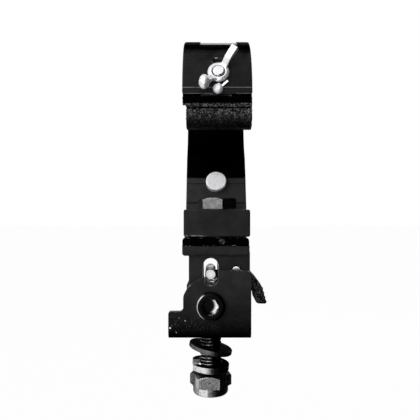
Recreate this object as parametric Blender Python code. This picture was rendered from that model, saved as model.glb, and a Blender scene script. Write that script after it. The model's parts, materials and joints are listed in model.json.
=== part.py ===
"""Articulated tube clamp: a cast hook with a sprung gate and a wing screw, on a swivel block,
over a folded bracket that tilts in steps and holds a threaded stud.

The origin is the centre of the clamped tube. The tube runs along X, the open side of the hook
faces -Y, and +Z is up. Lengths are in metres.
"""

import math

import bmesh
import bpy
from mathutils import Matrix, Vector

MM = 0.001

# Fits
CLEAR = 0.3 * MM
BORE_PLAY = 0.5 * MM

# Hook
TUBE_D = 50 * MM
HOOK_WALL = 6.5 * MM
HOOK_WIDTH = 30 * MM
LIP_END_Z = 1.2 * MM
SEAT_END_ANGLE = math.radians(-52)
RAMP_DEPTH = 3.5 * MM
RAMP_LEAN = math.radians(21.5)
RAMP_TOP_Z = -32.2 * MM
LIP_STEP_Z = 3.9 * MM
LIP_STEP = 0.5 * MM
NECK_DROP = 22.5 * MM
FOOT_H = 12.3 * MM
FOOT_FRONT = 12 * MM
FOOT_BACK_Y = 22 * MM
SPINE_BEND_Z = -26 * MM
MILLED_H = 3.3 * MM
MILLED_DEPTH = 0.6 * MM
GROOVE_W = 16.6 * MM
GROOVE_X = 0.8 * MM
GROOVE_DEPTH = 0.4 * MM
POCKET_DEPTH = 2 * MM
POCKET_TOP_Z = -28 * MM
SPARE_HOLE_ANGLE = math.radians(30.8)
SPARE_HOLE_D = 2.8 * MM
SPARE_RIM_D = 4.7 * MM
SPARE_HOLE_DEPTH = 4 * MM
CAST_EDGE = 0.8 * MM

# Gate, pin and gate spring
HINGE_INSET = 3.25 * MM
HINGE_Z = -0.3 * MM
KNUCKLE_R = 2.6 * MM
CENTRE_KNUCKLE_W = 14 * MM
GATE_PIN_D = 3 * MM
GATE_INSET = 1.6 * MM
GATE_STRIP_H = 1.6 * MM
GATE_LEDGE = 0.4 * MM
GATE_STEP = 0.6 * MM
GATE_GROOVE = 0.5 * MM
GATE_BAND_T = 0.4 * MM
GATE_INLAY = 0.08 * MM
GATE_BAND_TOP = math.radians(165)
GATE_BAND_END = math.radians(255)
GATE_LENGTH = 12.6 * MM
GATE_CORNER = 2.5 * MM
GATE_SPRING_WIRE = 0.7 * MM
GATE_SPRING_TURNS = 3
GATE_SPRING_X = 4.4 * MM
SPRING_TURN_GAP = 0.5 * MM

# Wing screw and keeper
SCREW_RISE = 7.7 * MM
SCREW_X = 0.5 * MM
SCREW_D = 5 * MM
SCREW_REACH = 3.2 * MM
WING_BASE_D = 9.6 * MM
WING_FACE_D = 7 * MM
WING_HUB_H = 1.6 * MM
WING_FLANGE_T = 0.7 * MM
WING_SPAN = 23.4 * MM
WING_T = 3.2 * MM
WING_H = 3.6 * MM
WING_LIFT = 3.3 * MM
WING_TURN = math.radians(52)
KEEPER_X = 0.3 * MM
KEEPER_Z = 2.8 * MM
KEEPER_D = 4.4 * MM
KEEPER_H = 1.8 * MM
KEEPER_STEM_D = 2 * MM
KEEPER_STEM_L = 1.7 * MM
CLIP_T = 0.6 * MM
CLIP_EYE_WALL = 0.8 * MM
CLIP_PRONG_W = 0.9 * MM
CLIP_PRONGS = ((0.5 * MM, 2.6 * MM), (4.2 * MM, 3.7 * MM))

# Stop stud on the ramp
STUD_D = 10.3 * MM
STUD_Z = -34.7 * MM
STUD_OUT = 3 * MM
STUD_STEM_D = 6 * MM
STUD_STEM_L = 6 * MM

# Swivel bolt and swivel block
AXIS_Y = -8 * MM
SWIVEL_X = 0.3 * MM
BOLT_D = 10 * MM
BOLT_AF = 16 * MM
BOLT_HEAD_H = 5 * MM
BOLT_TURN = math.radians(43.5)
SWIVEL_GAP = 0.5 * MM
SWIVEL_H = 7.8 * MM
SWIVEL_W = 30 * MM
SWIVEL_DEPTH = 30 * MM
SWIVEL_SHIFT = -0.5 * MM
COVE_H = 3.3 * MM
COVE_DEPTH = 3 * MM
SET_SCREW_D = 3 * MM
SET_SCREW_X = 2.5 * MM

# Ears of the swivel block
EAR_SPAN = 25.4 * MM
EAR_T = 5 * MM
EAR_LEFT = 9.8 * MM
EAR_RIGHT = 17.6 * MM
EAR_FOOT_R = 9.4 * MM
PIVOT_X = -2.8 * MM
PIVOT_DROP = 21.3 * MM
SLOT_W = 6.65 * MM
SLOT_L = 13.1 * MM
SLOT_TOP = 1.1 * MM
BACK_SLOT_EXTRA = 0.8 * MM

# Index block, lock pin and lever
INDEX_R = 10 * MM
INDEX_W = 10 * MM
INDEX_FOOT_H = 6 * MM
INDEX_FOOT_EDGE = 4.5 * MM
INDEX_SCREW_D = 2.4 * MM
INDEX_SCREW_HEAD_D = 4.4 * MM
INDEX_SCREW_HEAD_H = 1.2 * MM
INDEX_SCREW_L = 7 * MM
INDEX_SCREW_INSET = 0.2 * MM
INDEX_SCREW_OUT = 2.4 * MM
INDEX_HOLE_DEPTH = 4.5 * MM
INDEX_STEP = math.radians(45)
NOTCH_COUNT = 3
NOTCH_APEX = (0.8 * MM, 5.8 * MM)
NOTCH_STEEP = math.radians(36.9)
NOTCH_SHALLOW = math.radians(54.5)
LOCK_PIN_D = 5 * MM
LOCK_PIN_NECK_D = 3 * MM
LEVER_PIN_X = 8.7 * MM
LEVER_PIN_DROP = 6.6 * MM
LEVER_PIN_D = 4 * MM
LEVER_ARM_T = 1.8 * MM
LEVER_W = 14.8 * MM
LEVER_END_H = 4.8 * MM
LEVER_BOSS_R = 4.5 * MM
LEVER_BRIDGE_X = 14 * MM
LEVER_NECK_L = 1 * MM
THUMB_INNER = (
    (12.2 * MM, 8.7 * MM),
    (14.2 * MM, 6.3 * MM),
    (15.9 * MM, 4.6 * MM),
    (16.6 * MM, 4.2 * MM),
    (17.05 * MM, 2.85 * MM),
    (17.4 * MM, 0.5 * MM),
    (18.1 * MM, -0.9 * MM),
    (19.2 * MM, -1.3 * MM),
)
THUMB_OUTER = (
    (22.5 * MM, -1.3 * MM),
    (22.7 * MM, -0.4 * MM),
    (22.2 * MM, 1.4 * MM),
    (21.6 * MM, 3.7 * MM),
    (21.1 * MM, 5.6 * MM),
    (20 * MM, 7.4 * MM),
    (18.4 * MM, 10.1 * MM),
    (15.4 * MM, 13.3 * MM),
)
RIB_INSET = 0.3 * MM
RIB_R = 0.6 * MM
LEVER_SPRING_WIRE = 0.8 * MM
LEVER_SPRING_TURNS = 6
THUMB_RIBS = 5

# Folded bracket
PLATE_T = 3 * MM
FOLD_R = 3.4 * MM
WEB_REACH = 11.7 * MM
BRACKET_RIGHT = 17.7 * MM
BRACKET_LEFT = 18.5 * MM
BRACKET_TOP = 15.3 * MM
BRACKET_FOOT_H = 12 * MM
BRACKET_ARC_R = 12.6 * MM
BRACKET_SIDE = 12 * MM
BRACKET_FILLET = 1.7 * MM
FRONT_NOTCH_END = 8.2 * MM
BACK_NOTCH_END = 5.5 * MM

# Pivot hardware
SLEEVE_D = 10 * MM
PIVOT_SCREW_D = 8 * MM
PIVOT_HEAD_D = 12.6 * MM
PIVOT_HEAD_H = 3.4 * MM
PIVOT_HEX_AF = 6 * MM
PIVOT_MOUTH_D = 8 * MM
PIVOT_MOUTH_DEPTH = 1.4 * MM
PIVOT_HEX_DEPTH = 4.5 * MM
THRUST_WASHER_D = 14 * MM
SPACER_D = 14 * MM
PIVOT_NUT_AF = 13 * MM
PIVOT_NUT_H = 7.5 * MM

# Base stud and its hardware
STUD_HEAD_D = 14 * MM
STUD_HEAD_H = 2 * MM
BASE_BOLT_L = 31.3 * MM
FLAT_WASHER_D = 20.5 * MM
FLAT_WASHER_T = 2.2 * MM
FLAT_WASHER_HOLE = 11.4 * MM
FLAT_WASHER_DROP = 8.4 * MM
FLAT_WASHER_TILT = math.radians(12.5)
SPRING_WASHER_D = 17.4 * MM
SPRING_WASHER_SECTION = 3 * MM
SPRING_WASHER_H = 2.5 * MM
SPRING_WASHER_DROP = 16.5 * MM
SPRING_WASHER_RISE = 2 * MM
SPRING_WASHER_TILT = math.radians(5)
SPRING_WASHER_SPLIT = math.radians(200)
SPRING_WASHER_OPENING = math.radians(9)
LOCK_NUT_AF = 17 * MM
LOCK_NUT_DROP = 19.8 * MM
LOCK_NUT_H = 6 * MM
LOCK_NUT_TURN = math.radians(-5)
LOCK_COLLAR_D = 16.6 * MM
LOCK_COLLAR_H = 3.8 * MM
INSERT_T = 1.6 * MM

# Values that follow from the sizes above
BORE_R = TUBE_D / 2 + BORE_PLAY
HOOK_R = BORE_R + HOOK_WALL
FOOT_TOP_Z = -(BORE_R + NECK_DROP)
FOOT_BOTTOM_Z = FOOT_TOP_Z - FOOT_H
FOOT_FRONT_Y = AXIS_Y - FOOT_FRONT
HINGE_Y = -(HOOK_R - HINGE_INSET)
KEEPER_ANGLE = math.asin(KEEPER_Z / HOOK_R)
SCREW_ANGLE = KEEPER_ANGLE + SCREW_RISE / HOOK_R
SWIVEL_TOP_Z = FOOT_BOTTOM_Z - SWIVEL_GAP
SWIVEL_BOTTOM_Z = SWIVEL_TOP_Z - SWIVEL_H
SWIVEL_FRONT_Y = AXIS_Y - SWIVEL_DEPTH / 2
PIVOT_Z = SWIVEL_BOTTOM_Z - PIVOT_DROP
EAR_OUT = EAR_SPAN / 2
EAR_IN = EAR_OUT - EAR_T
SLOT_TOP_Z = SWIVEL_BOTTOM_Z - SLOT_TOP
LOCK_PIN_Z = PIVOT_Z + INDEX_R + CLEAR + LOCK_PIN_D / 2
LEVER_PIN_Z = SWIVEL_BOTTOM_Z - LEVER_PIN_DROP
CHEEK_IN = SWIVEL_DEPTH / 2 + CLEAR
CHEEK_OUT = CHEEK_IN + PLATE_T
WEB_TOP_Z = PIVOT_Z - WEB_REACH
WEB_BOTTOM_Z = WEB_TOP_Z - PLATE_T
THREAD_HOLE = BOLT_D / 2 + CLEAR

# Number of flat sides on round shapes
SIDES_LARGE = 40
SIDES = 28
SIDES_SMALL = 16


def clear_scene():
    for obj in list(bpy.data.objects):
        bpy.data.objects.remove(obj, do_unlink=True)


def new_material(name, colour, roughness, metallic):
    material = bpy.data.materials.new(name)
    material.use_nodes = True
    shader = material.node_tree.nodes["Principled BSDF"]
    shader.inputs["Base Color"].default_value = (*colour, 1.0)
    shader.inputs["Roughness"].default_value = roughness
    shader.inputs["Metallic"].default_value = metallic
    return material


def black_paint(name):
    return new_material(name, (0.022, 0.022, 0.024), 0.5, 0.0)


def rough_casting(name):
    return new_material(name, (0.03, 0.03, 0.032), 0.75, 0.0)


def zinc_steel(name):
    return new_material(name, (0.72, 0.72, 0.74), 0.3, 1.0)


def black_steel(name):
    return new_material(name, (0.06, 0.06, 0.065), 0.38, 1.0)


def dark_nylon(name):
    return new_material(name, (0.02, 0.02, 0.02), 0.6, 0.0)


def object_from(bm, name, material):
    """Close a bmesh into a named object with outward faces."""
    bmesh.ops.recalc_face_normals(bm, faces=bm.faces)
    mesh = bpy.data.meshes.new(name)
    bm.to_mesh(mesh)
    bm.free()
    obj = bpy.data.objects.new(name, mesh)
    bpy.context.scene.collection.objects.link(obj)
    if material is not None:
        mesh.materials.append(material)
    mesh.shade_smooth()
    mesh.set_sharp_from_angle(angle=math.radians(35))
    return obj


def arc(centre, radius, start, end, steps):
    """Points of an arc in a plane, both ends included."""
    angles = [start + (end - start) * i / steps for i in range(steps + 1)]
    return [
        (centre[0] + radius * math.cos(a), centre[1] + radius * math.sin(a))
        for a in angles
    ]


PLANE_AXES = {"yz": (1, 2, 0), "xz": (0, 2, 1), "xy": (0, 1, 2)}


def prism(name, outline, plane, low, high, material=None):
    """Extrude an outline drawn in the plane along the third axis, from low to high."""
    u, v, w = PLANE_AXES[plane]
    bm = bmesh.new()
    verts = []
    for point in outline:
        place = [0.0, 0.0, 0.0]
        place[u], place[v], place[w] = point[0], point[1], low
        verts.append(bm.verts.new(place))
    face = bm.faces.new(verts)
    moved = bmesh.ops.extrude_face_region(bm, geom=[face])
    shift = Vector((0, 0, 0))
    shift[w] = high - low
    new_verts = [g for g in moved["geom"] if isinstance(g, bmesh.types.BMVert)]
    bmesh.ops.translate(bm, vec=shift, verts=new_verts)
    return object_from(bm, name, material)


def turned(name, profile, sides, material=None):
    """Turn a closed profile of (radius, height) points about Z. A radius of 0 is on the axis."""
    bm = bmesh.new()
    flat_low = profile[0][0] <= 0 and profile[0][1] == profile[1][1]
    flat_high = profile[-1][0] <= 0 and profile[-1][1] == profile[-2][1]
    on_axis = profile[0][0] <= 0 and profile[-1][0] <= 0
    points = profile[1 if flat_low else 0:-1 if flat_high else len(profile)]
    rings = []
    for radius, height in points:
        if radius <= 0:
            rings.append([bm.verts.new((0, 0, height))])
            continue
        angles = [2 * math.pi * i / sides for i in range(sides)]
        rings.append(
            [bm.verts.new((radius * math.cos(a), radius * math.sin(a), height)) for a in angles]
        )
    pairs = list(zip(rings, rings[1:]))
    if not on_axis:
        pairs.append((rings[-1], rings[0]))
    for lower, upper in pairs:
        for i in range(sides):
            j = (i + 1) % sides
            corners = [lower[i % len(lower)], lower[j % len(lower)]]
            corners += [upper[j % len(upper)], upper[i % len(upper)]]
            unique = list(dict.fromkeys(corners))
            if len(unique) > 2:
                bm.faces.new(unique)
    if flat_low:
        bm.faces.new(rings[0])
    if flat_high:
        bm.faces.new(rings[-1])
    return object_from(bm, name, material)


def rod(name, radius, low, high, sides=SIDES, material=None, edge=0.0):
    """A solid round bar along Z, with an optional chamfer at each end."""
    profile = [(0, low), (radius - edge, low)]
    if edge:
        profile += [(radius, low + edge), (radius, high - edge)]
    profile += [(radius - edge, high), (0, high)]
    return turned(name, profile, sides, material)


def ring(name, inner, outer, low, high, sides=SIDES, material=None, edge=0.0):
    """A flat ring along Z, with an optional chamfer on its outer edges."""
    profile = [(inner, low), (outer - edge, low)]
    if edge:
        profile += [(outer, low + edge), (outer, high - edge)]
    profile += [(outer - edge, high), (inner, high)]
    return turned(name, profile, sides, material)


def hex_outline(flats, turn=0.0):
    radius = flats / 2 / math.cos(math.pi / 6)
    return [
        (radius * math.cos(turn + k * math.pi / 3), radius * math.sin(turn + k * math.pi / 3))
        for k in range(6)
    ]


def along(direction):
    """The rotation that carries +Z to the direction."""
    return Vector(direction).to_track_quat("Z", "Y").to_matrix().to_4x4()


def move(obj, location, rotation=None):
    """Place an object and keep the placing in its transform."""
    turn = rotation if rotation is not None else Matrix.Identity(4)
    obj.matrix_world = Matrix.Translation(location) @ turn
    return obj


def helper(obj):
    """Mark an object as a cutter or filler that is no part of the clamp."""
    obj.hide_render = True
    obj.display_type = "WIRE"
    return obj


def combine(target, other, operation):
    modifier = target.modifiers.new(f"{operation.lower()} {other.name}", "BOOLEAN")
    modifier.operation = operation
    modifier.solver = "EXACT"
    modifier.object = helper(other)
    return target


def cut(target, *cutters):
    for cutter in cutters:
        combine(target, cutter, "DIFFERENCE")
    return target


def join(target, *fillers):
    for filler in fillers:
        combine(target, filler, "UNION")
    return target


def soften(obj, width, segments=2, angle=math.radians(40)):
    """Round the sharp edges of a plain solid, before anything is cut from it."""
    modifier = obj.modifiers.new("soften", "BEVEL")
    modifier.width = width
    modifier.segments = segments
    modifier.limit_method = "ANGLE"
    modifier.angle_limit = angle
    modifier.use_clamp_overlap = True
    return obj


def wire_coil(name, radius, wire, turns, legs, material, points_per_turn=10):
    """An open coil of round wire about local Z, as one unbroken tube with a leg at each end."""
    pitch = wire + SPRING_TURN_GAP
    count = int(turns * points_per_turn)
    length = pitch * turns
    path = []
    for i in range(count + 1):
        a = 2 * math.pi * i / points_per_turn
        path.append((radius * math.cos(a), radius * math.sin(a), length * i / count - length / 2))
    first, last = path[0], path[-1]
    path = [(first[0], first[1] + legs[0], first[2])] + path
    path.append((last[0], last[1] + legs[1], last[2]))
    curve = bpy.data.curves.new(name, "CURVE")
    curve.dimensions = "3D"
    curve.bevel_depth = wire / 2
    curve.bevel_resolution = 1
    curve.use_fill_caps = True
    spline = curve.splines.new("POLY")
    spline.points.add(len(path) - 1)
    for point, place in zip(spline.points, path):
        point.co = (*place, 1.0)
    curve.materials.append(material)
    obj = bpy.data.objects.new(name, curve)
    bpy.context.scene.collection.objects.link(obj)
    print(f"{name}: least gap between turns {(pitch - wire) / MM:.2f} mm")
    return obj


def ramp_y(z):
    """Depth of the sloping face that leads the tube in, at the height z."""
    return RAMP_DEPTH + (z - FOOT_TOP_Z) * math.tan(RAMP_LEAN)


def hook_outline():
    """The side of the hook: lip, crown, spine, foot, ramp and seat, in the YZ plane."""
    lip_inner = math.pi - math.asin(LIP_END_Z / BORE_R)
    lip_outer = math.pi - math.asin(LIP_END_Z / HOOK_R)
    points = arc((0, 0), HOOK_R, lip_outer, 0, 40)
    points += [(HOOK_R, SPINE_BEND_Z), (FOOT_BACK_Y, FOOT_BOTTOM_Z)]
    points += [(FOOT_FRONT_Y, FOOT_BOTTOM_Z), (FOOT_FRONT_Y, FOOT_TOP_Z)]
    points += [(ramp_y(FOOT_TOP_Z), FOOT_TOP_Z), (ramp_y(RAMP_TOP_Z), RAMP_TOP_Z)]
    return points + arc((0, 0), BORE_R, SEAT_END_ANGLE, lip_inner, 40)


def radial(angle):
    """The direction away from the tube at an angle above the horizontal, on the open side."""
    return Vector((0, -math.cos(angle), math.sin(angle)))


def radial_frame(angle, x):
    """The placing of a piece whose local Z points away from the tube's centre."""
    return Matrix.Translation((x, 0, 0)) @ along(radial(angle))


def across(name, radius, low, high, y, z, sides=SIDES):
    """A plain round bar along X."""
    bar = rod(name, radius, low, high, sides)
    return move(bar, (0, y, z), Matrix.Rotation(math.pi / 2, 4, "Y"))


def stud_frame():
    """The placing of the stop stud, square to the ramp."""
    out = Vector((0, -math.cos(RAMP_LEAN), math.sin(RAMP_LEAN)))
    return Matrix.Translation((0, ramp_y(STUD_Z), STUD_Z)) @ along(out)


def cut_lip_and_ramp(hook):
    """The step along the lip's lower edge, and the milled strip at the foot of the ramp."""
    half = HOOK_WIDTH / 2 + MM
    stepped = HOOK_R - LIP_STEP
    lip = [
        (-HOOK_R - MM, LIP_END_Z - MM),
        (-HOOK_R - MM, LIP_STEP_Z),
        (-stepped, LIP_STEP_Z),
        (-stepped, LIP_END_Z - MM),
    ]
    cut(hook, prism("lip_step_cut", lip, "yz", -half, half))
    milled_low = FOOT_TOP_Z + CLEAR
    milled_top = FOOT_TOP_Z + MILLED_H
    strip = [
        (ramp_y(milled_low) - MM, milled_low),
        (ramp_y(milled_low) + MILLED_DEPTH, milled_low),
        (ramp_y(milled_top) + MILLED_DEPTH, milled_top),
        (ramp_y(milled_top) - MM, milled_top),
    ]
    cut(hook, prism("milled_cut", strip, "yz", -half, half))


def make_hook():
    half = HOOK_WIDTH / 2
    hook = prism("hook_body", hook_outline(), "yz", -half, half, black_paint("hook_paint"))
    soften(hook, CAST_EDGE)
    cut_lip_and_ramp(hook)
    inner = CENTRE_KNUCKLE_W / 2
    for side in (-1, 1):
        low, high = sorted((side * inner, side * (half + 1 * MM)))
        socket = KNUCKLE_R + CLEAR
        cut(hook, across(f"socket_cut_{side}", socket, low, high, HINGE_Y, HINGE_Z))
        pocket = [
            (ramp_y(POCKET_TOP_Z) + 5 * MM, POCKET_TOP_Z),
            (HOOK_R - 6 * MM, POCKET_TOP_Z),
            (FOOT_BACK_Y + 0.5 * MM, FOOT_TOP_Z + 3 * MM),
            (ramp_y(FOOT_TOP_Z) + 6 * MM, FOOT_TOP_Z + 3 * MM),
        ]
        low, high = sorted((side * (half - POCKET_DEPTH), side * (half + 1 * MM)))
        cut(hook, prism(f"pocket_cut_{side}", pocket, "yz", low, high))
    join(hook, across("centre_knuckle", KNUCKLE_R, -inner, inner, HINGE_Y, HINGE_Z))
    coil = GATE_SPRING_TURNS * (GATE_SPRING_WIRE + SPRING_TURN_GAP) + GATE_SPRING_WIRE
    room_start = GATE_SPRING_X - coil / 2 - CLEAR
    room_r = KNUCKLE_R + 2 * CLEAR
    cut(hook, across("spring_cut", room_r, room_start, inner + MM, HINGE_Y, HINGE_Z))
    pin_r = GATE_PIN_D / 2 + CLEAR
    cut(hook, across("pin_cut", pin_r, -half - MM, half + MM, HINGE_Y, HINGE_Z, SIDES_SMALL))

    bolt = rod("bolt_cut", THREAD_HOLE, FOOT_BOTTOM_Z - MM, FOOT_TOP_Z + 4 * MM)
    cut(hook, move(bolt, (SWIVEL_X, AXIS_Y, 0)))

    screw = rod("screw_cut", SCREW_D / 2 + CLEAR, BORE_R - 3 * MM, HOOK_R + MM, SIDES_SMALL)
    screw.matrix_world = radial_frame(SCREW_ANGLE, SCREW_X)
    spare_profile = [
        (0, HOOK_R - SPARE_HOLE_DEPTH),
        (SPARE_HOLE_D / 2, HOOK_R - SPARE_HOLE_DEPTH),
        (SPARE_HOLE_D / 2, HOOK_R - (SPARE_RIM_D - SPARE_HOLE_D) / 2),
        (SPARE_RIM_D / 2 + MM, HOOK_R + MM),
        (0, HOOK_R + MM),
    ]
    spare = turned("spare_cut", spare_profile, SIDES_SMALL)
    spare.matrix_world = radial_frame(SPARE_HOLE_ANGLE, 0)
    keeper_depth = KEEPER_STEM_L + CLEAR
    keeper = rod("keeper_cut", KEEPER_STEM_D / 2 + CLEAR, HOOK_R - keeper_depth, HOOK_R + MM, 12)
    keeper.matrix_world = radial_frame(KEEPER_ANGLE, KEEPER_X)
    stud = rod("stud_cut", STUD_STEM_D / 2 + CLEAR, -STUD_STEM_L - CLEAR, 4 * MM, SIDES_SMALL)
    stud.matrix_world = stud_frame()
    cut(hook, screw, spare, keeper, stud)

    band = arc((0, 0), HOOK_R - GROOVE_DEPTH, math.radians(60), math.radians(135), 16)
    band += arc((0, 0), HOOK_R + 2 * MM, math.radians(135), math.radians(60), 16)
    low = GROOVE_X - GROOVE_W / 2
    cut(hook, prism("groove_cut", band, "yz", low, low + GROOVE_W))
    return hook


def make_stop_stud():
    profile = [
        (0, -STUD_STEM_L),
        (STUD_STEM_D / 2, -STUD_STEM_L),
        (STUD_STEM_D / 2, CLEAR),
        (STUD_D / 2, CLEAR),
        (STUD_D / 2, STUD_OUT - 0.4 * MM),
        (STUD_D / 2 - 0.4 * MM, STUD_OUT),
        (0, STUD_OUT),
    ]
    stud = turned("stop_stud", profile, SIDES, zinc_steel("stud_steel"))
    stud.matrix_world = stud_frame()


def make_keeper():
    """The keeper stud and the forked clip held under its head."""
    placing = radial_frame(KEEPER_ANGLE, KEEPER_X)
    radius = KEEPER_D / 2
    stem = KEEPER_STEM_D / 2
    clip_low = HOOK_R + CLEAR
    base = clip_low + CLIP_T + CLEAR
    profile = [
        (0, HOOK_R - KEEPER_STEM_L),
        (stem, HOOK_R - KEEPER_STEM_L),
        (stem, base),
        (radius, base),
        (radius, base + KEEPER_H * 0.3),
        (radius * 0.8, base + KEEPER_H * 0.75),
        (radius * 0.4, base + KEEPER_H),
        (0, base + KEEPER_H),
    ]
    keeper = turned("keeper_stud", profile, SIDES_SMALL, zinc_steel("keeper_steel"))
    keeper.matrix_world = placing

    eye = stem + CLEAR
    clip = ring(
        "keeper_clip", eye, eye + CLIP_EYE_WALL, clip_low, clip_low + CLIP_T,
        SIDES_SMALL, zinc_steel("clip_steel"),
    )
    clip.matrix_world = placing
    for index, (reach_x, reach_y) in enumerate(CLIP_PRONGS):
        end = Vector((reach_x, reach_y))
        way = end.normalized()
        side = Vector((-way.y, way.x)) * CLIP_PRONG_W / 2
        start = way * (eye + CLIP_EYE_WALL * 0.4)
        outline = [start + side, start - side, end - side, end + side]
        prong = prism(f"prong_{index}", outline, "xy", clip_low, clip_low + CLIP_T)
        prong.matrix_world = placing
        join(clip, prong)


def gate_outline():
    """The side of the gate: a narrow strip under the hinge, then the rough block."""
    barrel = HINGE_Y - KNUCKLE_R + 0.3 * MM
    ledge = barrel - GATE_LEDGE
    ledge_top = HINGE_Z - KNUCKLE_R + 0.2 * MM
    ledge_low = ledge_top - GATE_STRIP_H
    tip = HINGE_Z - GATE_LENGTH
    block = ledge + GATE_STEP
    inside = BORE_R + CLEAR
    start = math.pi + math.asin(-tip / inside)
    end = math.pi + math.asin((-HINGE_Z + KNUCKLE_R) / inside)
    points = [
        (HINGE_Y, HINGE_Z),
        (barrel, HINGE_Z),
        (barrel, ledge_top),
        (ledge, ledge_top),
        (ledge, ledge_low),
        (block + GATE_STEP, ledge_low),
        (block + GATE_STEP, ledge_low - GATE_GROOVE),
        (block, ledge_low - GATE_GROOVE),
        (block, tip + GATE_CORNER * 1.6),
    ]
    centre = (block + GATE_CORNER * 1.6, tip + GATE_CORNER * 1.6)
    points += arc(centre, GATE_CORNER * 1.6, math.pi, math.pi * 1.5, 5)[1:]
    points += arc((0, 0), inside, start, end, 6)
    points.append((HINGE_Y + KNUCKLE_R - CLEAR, HINGE_Z))
    return points


def make_gate():
    half = HOOK_WIDTH / 2
    gate = prism("gate", gate_outline(), "yz", GATE_INSET - half, half, rough_casting("gate_cast"))
    soften(gate, GATE_LEDGE * 0.4)
    inner = CENTRE_KNUCKLE_W / 2
    relief = inner + CLEAR
    for side in (-1, 1):
        low, high = sorted((side * (relief + GATE_INLAY), side * (half - GATE_INLAY)))
        join(gate, across(f"gate_knuckle_{side}", KNUCKLE_R, low, high, HINGE_Y, HINGE_Z))
    room = KNUCKLE_R + 2 * CLEAR
    cut(gate, across("gate_relief_cut", room, -relief, relief, HINGE_Y, HINGE_Z))
    outer_r = KNUCKLE_R + CLEAR + GATE_BAND_T
    band_end = half - 2 * GATE_INLAY
    centre_end = relief + CLEAR
    centre_top = GATE_BAND_TOP + GATE_INLAY / outer_r
    bands = [
        (-band_end, -relief - 2 * GATE_INLAY, KNUCKLE_R - CLEAR, outer_r, GATE_BAND_TOP),
        (-centre_end, centre_end, KNUCKLE_R + CLEAR, outer_r - GATE_INLAY / 2, centre_top),
        (relief + 2 * GATE_INLAY, band_end, KNUCKLE_R - CLEAR, outer_r, GATE_BAND_TOP),
    ]
    for index, (low, high, inner_r, band_r, top) in enumerate(bands):
        band = arc((HINGE_Y, HINGE_Z), band_r, top, GATE_BAND_END, 9)
        band += arc((HINGE_Y, HINGE_Z), inner_r, GATE_BAND_END, top, 9)
        join(gate, prism(f"gate_band_{index}", band, "yz", low, high))
    pin_r = GATE_PIN_D / 2 + CLEAR
    cut(gate, across("gate_pin_cut", pin_r, -half - MM, half + MM, HINGE_Y, HINGE_Z, SIDES_SMALL))


def make_gate_pin_and_spring():
    half = HOOK_WIDTH / 2
    pin = rod("gate_pin", GATE_PIN_D / 2, -half, half, SIDES_SMALL, zinc_steel("pin_steel"), 0.3 * MM)
    across_turn = Matrix.Rotation(math.pi / 2, 4, "Y")
    move(pin, (0, HINGE_Y, HINGE_Z), across_turn)
    radius = GATE_PIN_D / 2 + CLEAR + GATE_SPRING_WIRE / 2
    spring = wire_coil(
        "gate_spring",
        radius,
        GATE_SPRING_WIRE,
        GATE_SPRING_TURNS,
        (1 * MM, 1 * MM),
        zinc_steel("spring_steel"),
    )
    move(spring, (GATE_SPRING_X, HINGE_Y, HINGE_Z), across_turn)


def make_wing_screw():
    base = HOOK_R + CLEAR
    top = base + WING_HUB_H + 0.4 * MM
    screw = rod(
        "clamp_screw", SCREW_D / 2, BORE_R - SCREW_REACH, top, SIDES_SMALL,
        zinc_steel("screw_steel"), 0.4 * MM,
    )
    screw.matrix_world = radial_frame(SCREW_ANGLE, SCREW_X)

    bore = SCREW_D / 2 + CLEAR
    profile = [
        (bore, 0),
        (WING_BASE_D / 2, 0),
        (WING_BASE_D / 2, WING_FLANGE_T),
        (WING_FACE_D / 2, WING_HUB_H),
        (bore, WING_HUB_H),
    ]
    hub = turned("wing_nut", profile, SIDES, zinc_steel("wing_steel"))
    tip = WING_SPAN / 2
    root = bore + 0.5 * MM
    edge = WING_BASE_D / 2
    crest = WING_LIFT + WING_H
    wing = [
        (root, WING_FLANGE_T * 0.8),
        (edge, WING_LIFT * 0.3),
        (tip * 0.51, WING_LIFT * 0.73),
        (tip * 0.77, WING_LIFT * 0.85),
        (tip, WING_LIFT),
        (tip, crest - WING_H * 0.2),
        (tip * 0.93, crest),
        (tip * 0.7, crest - WING_H * 0.4),
        (tip * 0.5, crest - WING_H * 0.8),
        (root + CLEAR, WING_HUB_H - CLEAR),
    ]
    placing = radial_frame(SCREW_ANGLE, SCREW_X) @ Matrix.Translation((0, 0, base))
    placing = placing @ Matrix.Rotation(WING_TURN, 4, "Z")
    for side in (-1, 1):
        outline = [(side * u, v) for u, v in wing]
        blade = prism(f"wing_{side}", outline, "xz", -WING_T / 2, WING_T / 2)
        blade.matrix_world = placing
        join(hub, blade)
    hub.matrix_world = placing


def make_swivel_bolt():
    shank_end = SWIVEL_BOTTOM_Z + CLEAR
    seat = FOOT_TOP_Z + CLEAR
    bolt = rod("swivel_bolt", BOLT_D / 2, shank_end, seat + MM, SIDES, black_steel("bolt_steel"), 0.5 * MM)
    head = prism("bolt_head", hex_outline(BOLT_AF, BOLT_TURN), "xy", seat, seat + BOLT_HEAD_H)
    corner = BOLT_AF / 2 / math.cos(math.pi / 6)
    crown = [
        (0, seat - MM),
        (corner + MM, seat - MM),
        (corner + MM, seat + BOLT_HEAD_H - 1.1 * MM),
        (BOLT_AF / 2 * 0.96, seat + BOLT_HEAD_H + 0.2 * MM),
        (0, seat + BOLT_HEAD_H + 0.2 * MM),
    ]
    crown_form = turned("bolt_crown", crown, SIDES)
    combine(head, crown_form, "INTERSECT")
    join(bolt, head)
    for obj in (bolt, head, crown_form):
        move(obj, (SWIVEL_X, AXIS_Y, 0))


def ear_outline():
    """One ear of the swivel block, drawn about the pivot."""
    left = -EAR_LEFT
    right = EAR_RIGHT
    top = PIVOT_DROP + 2 * MM
    points = [(left, top), (left, 8 * MM)]
    points += arc((0, 0), EAR_FOOT_R, math.radians(160), math.radians(350), 18)
    points += [(right, 3 * MM), (right, top)]
    return [(PIVOT_X + x, PIVOT_Z + z) for x, z in points]


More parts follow.
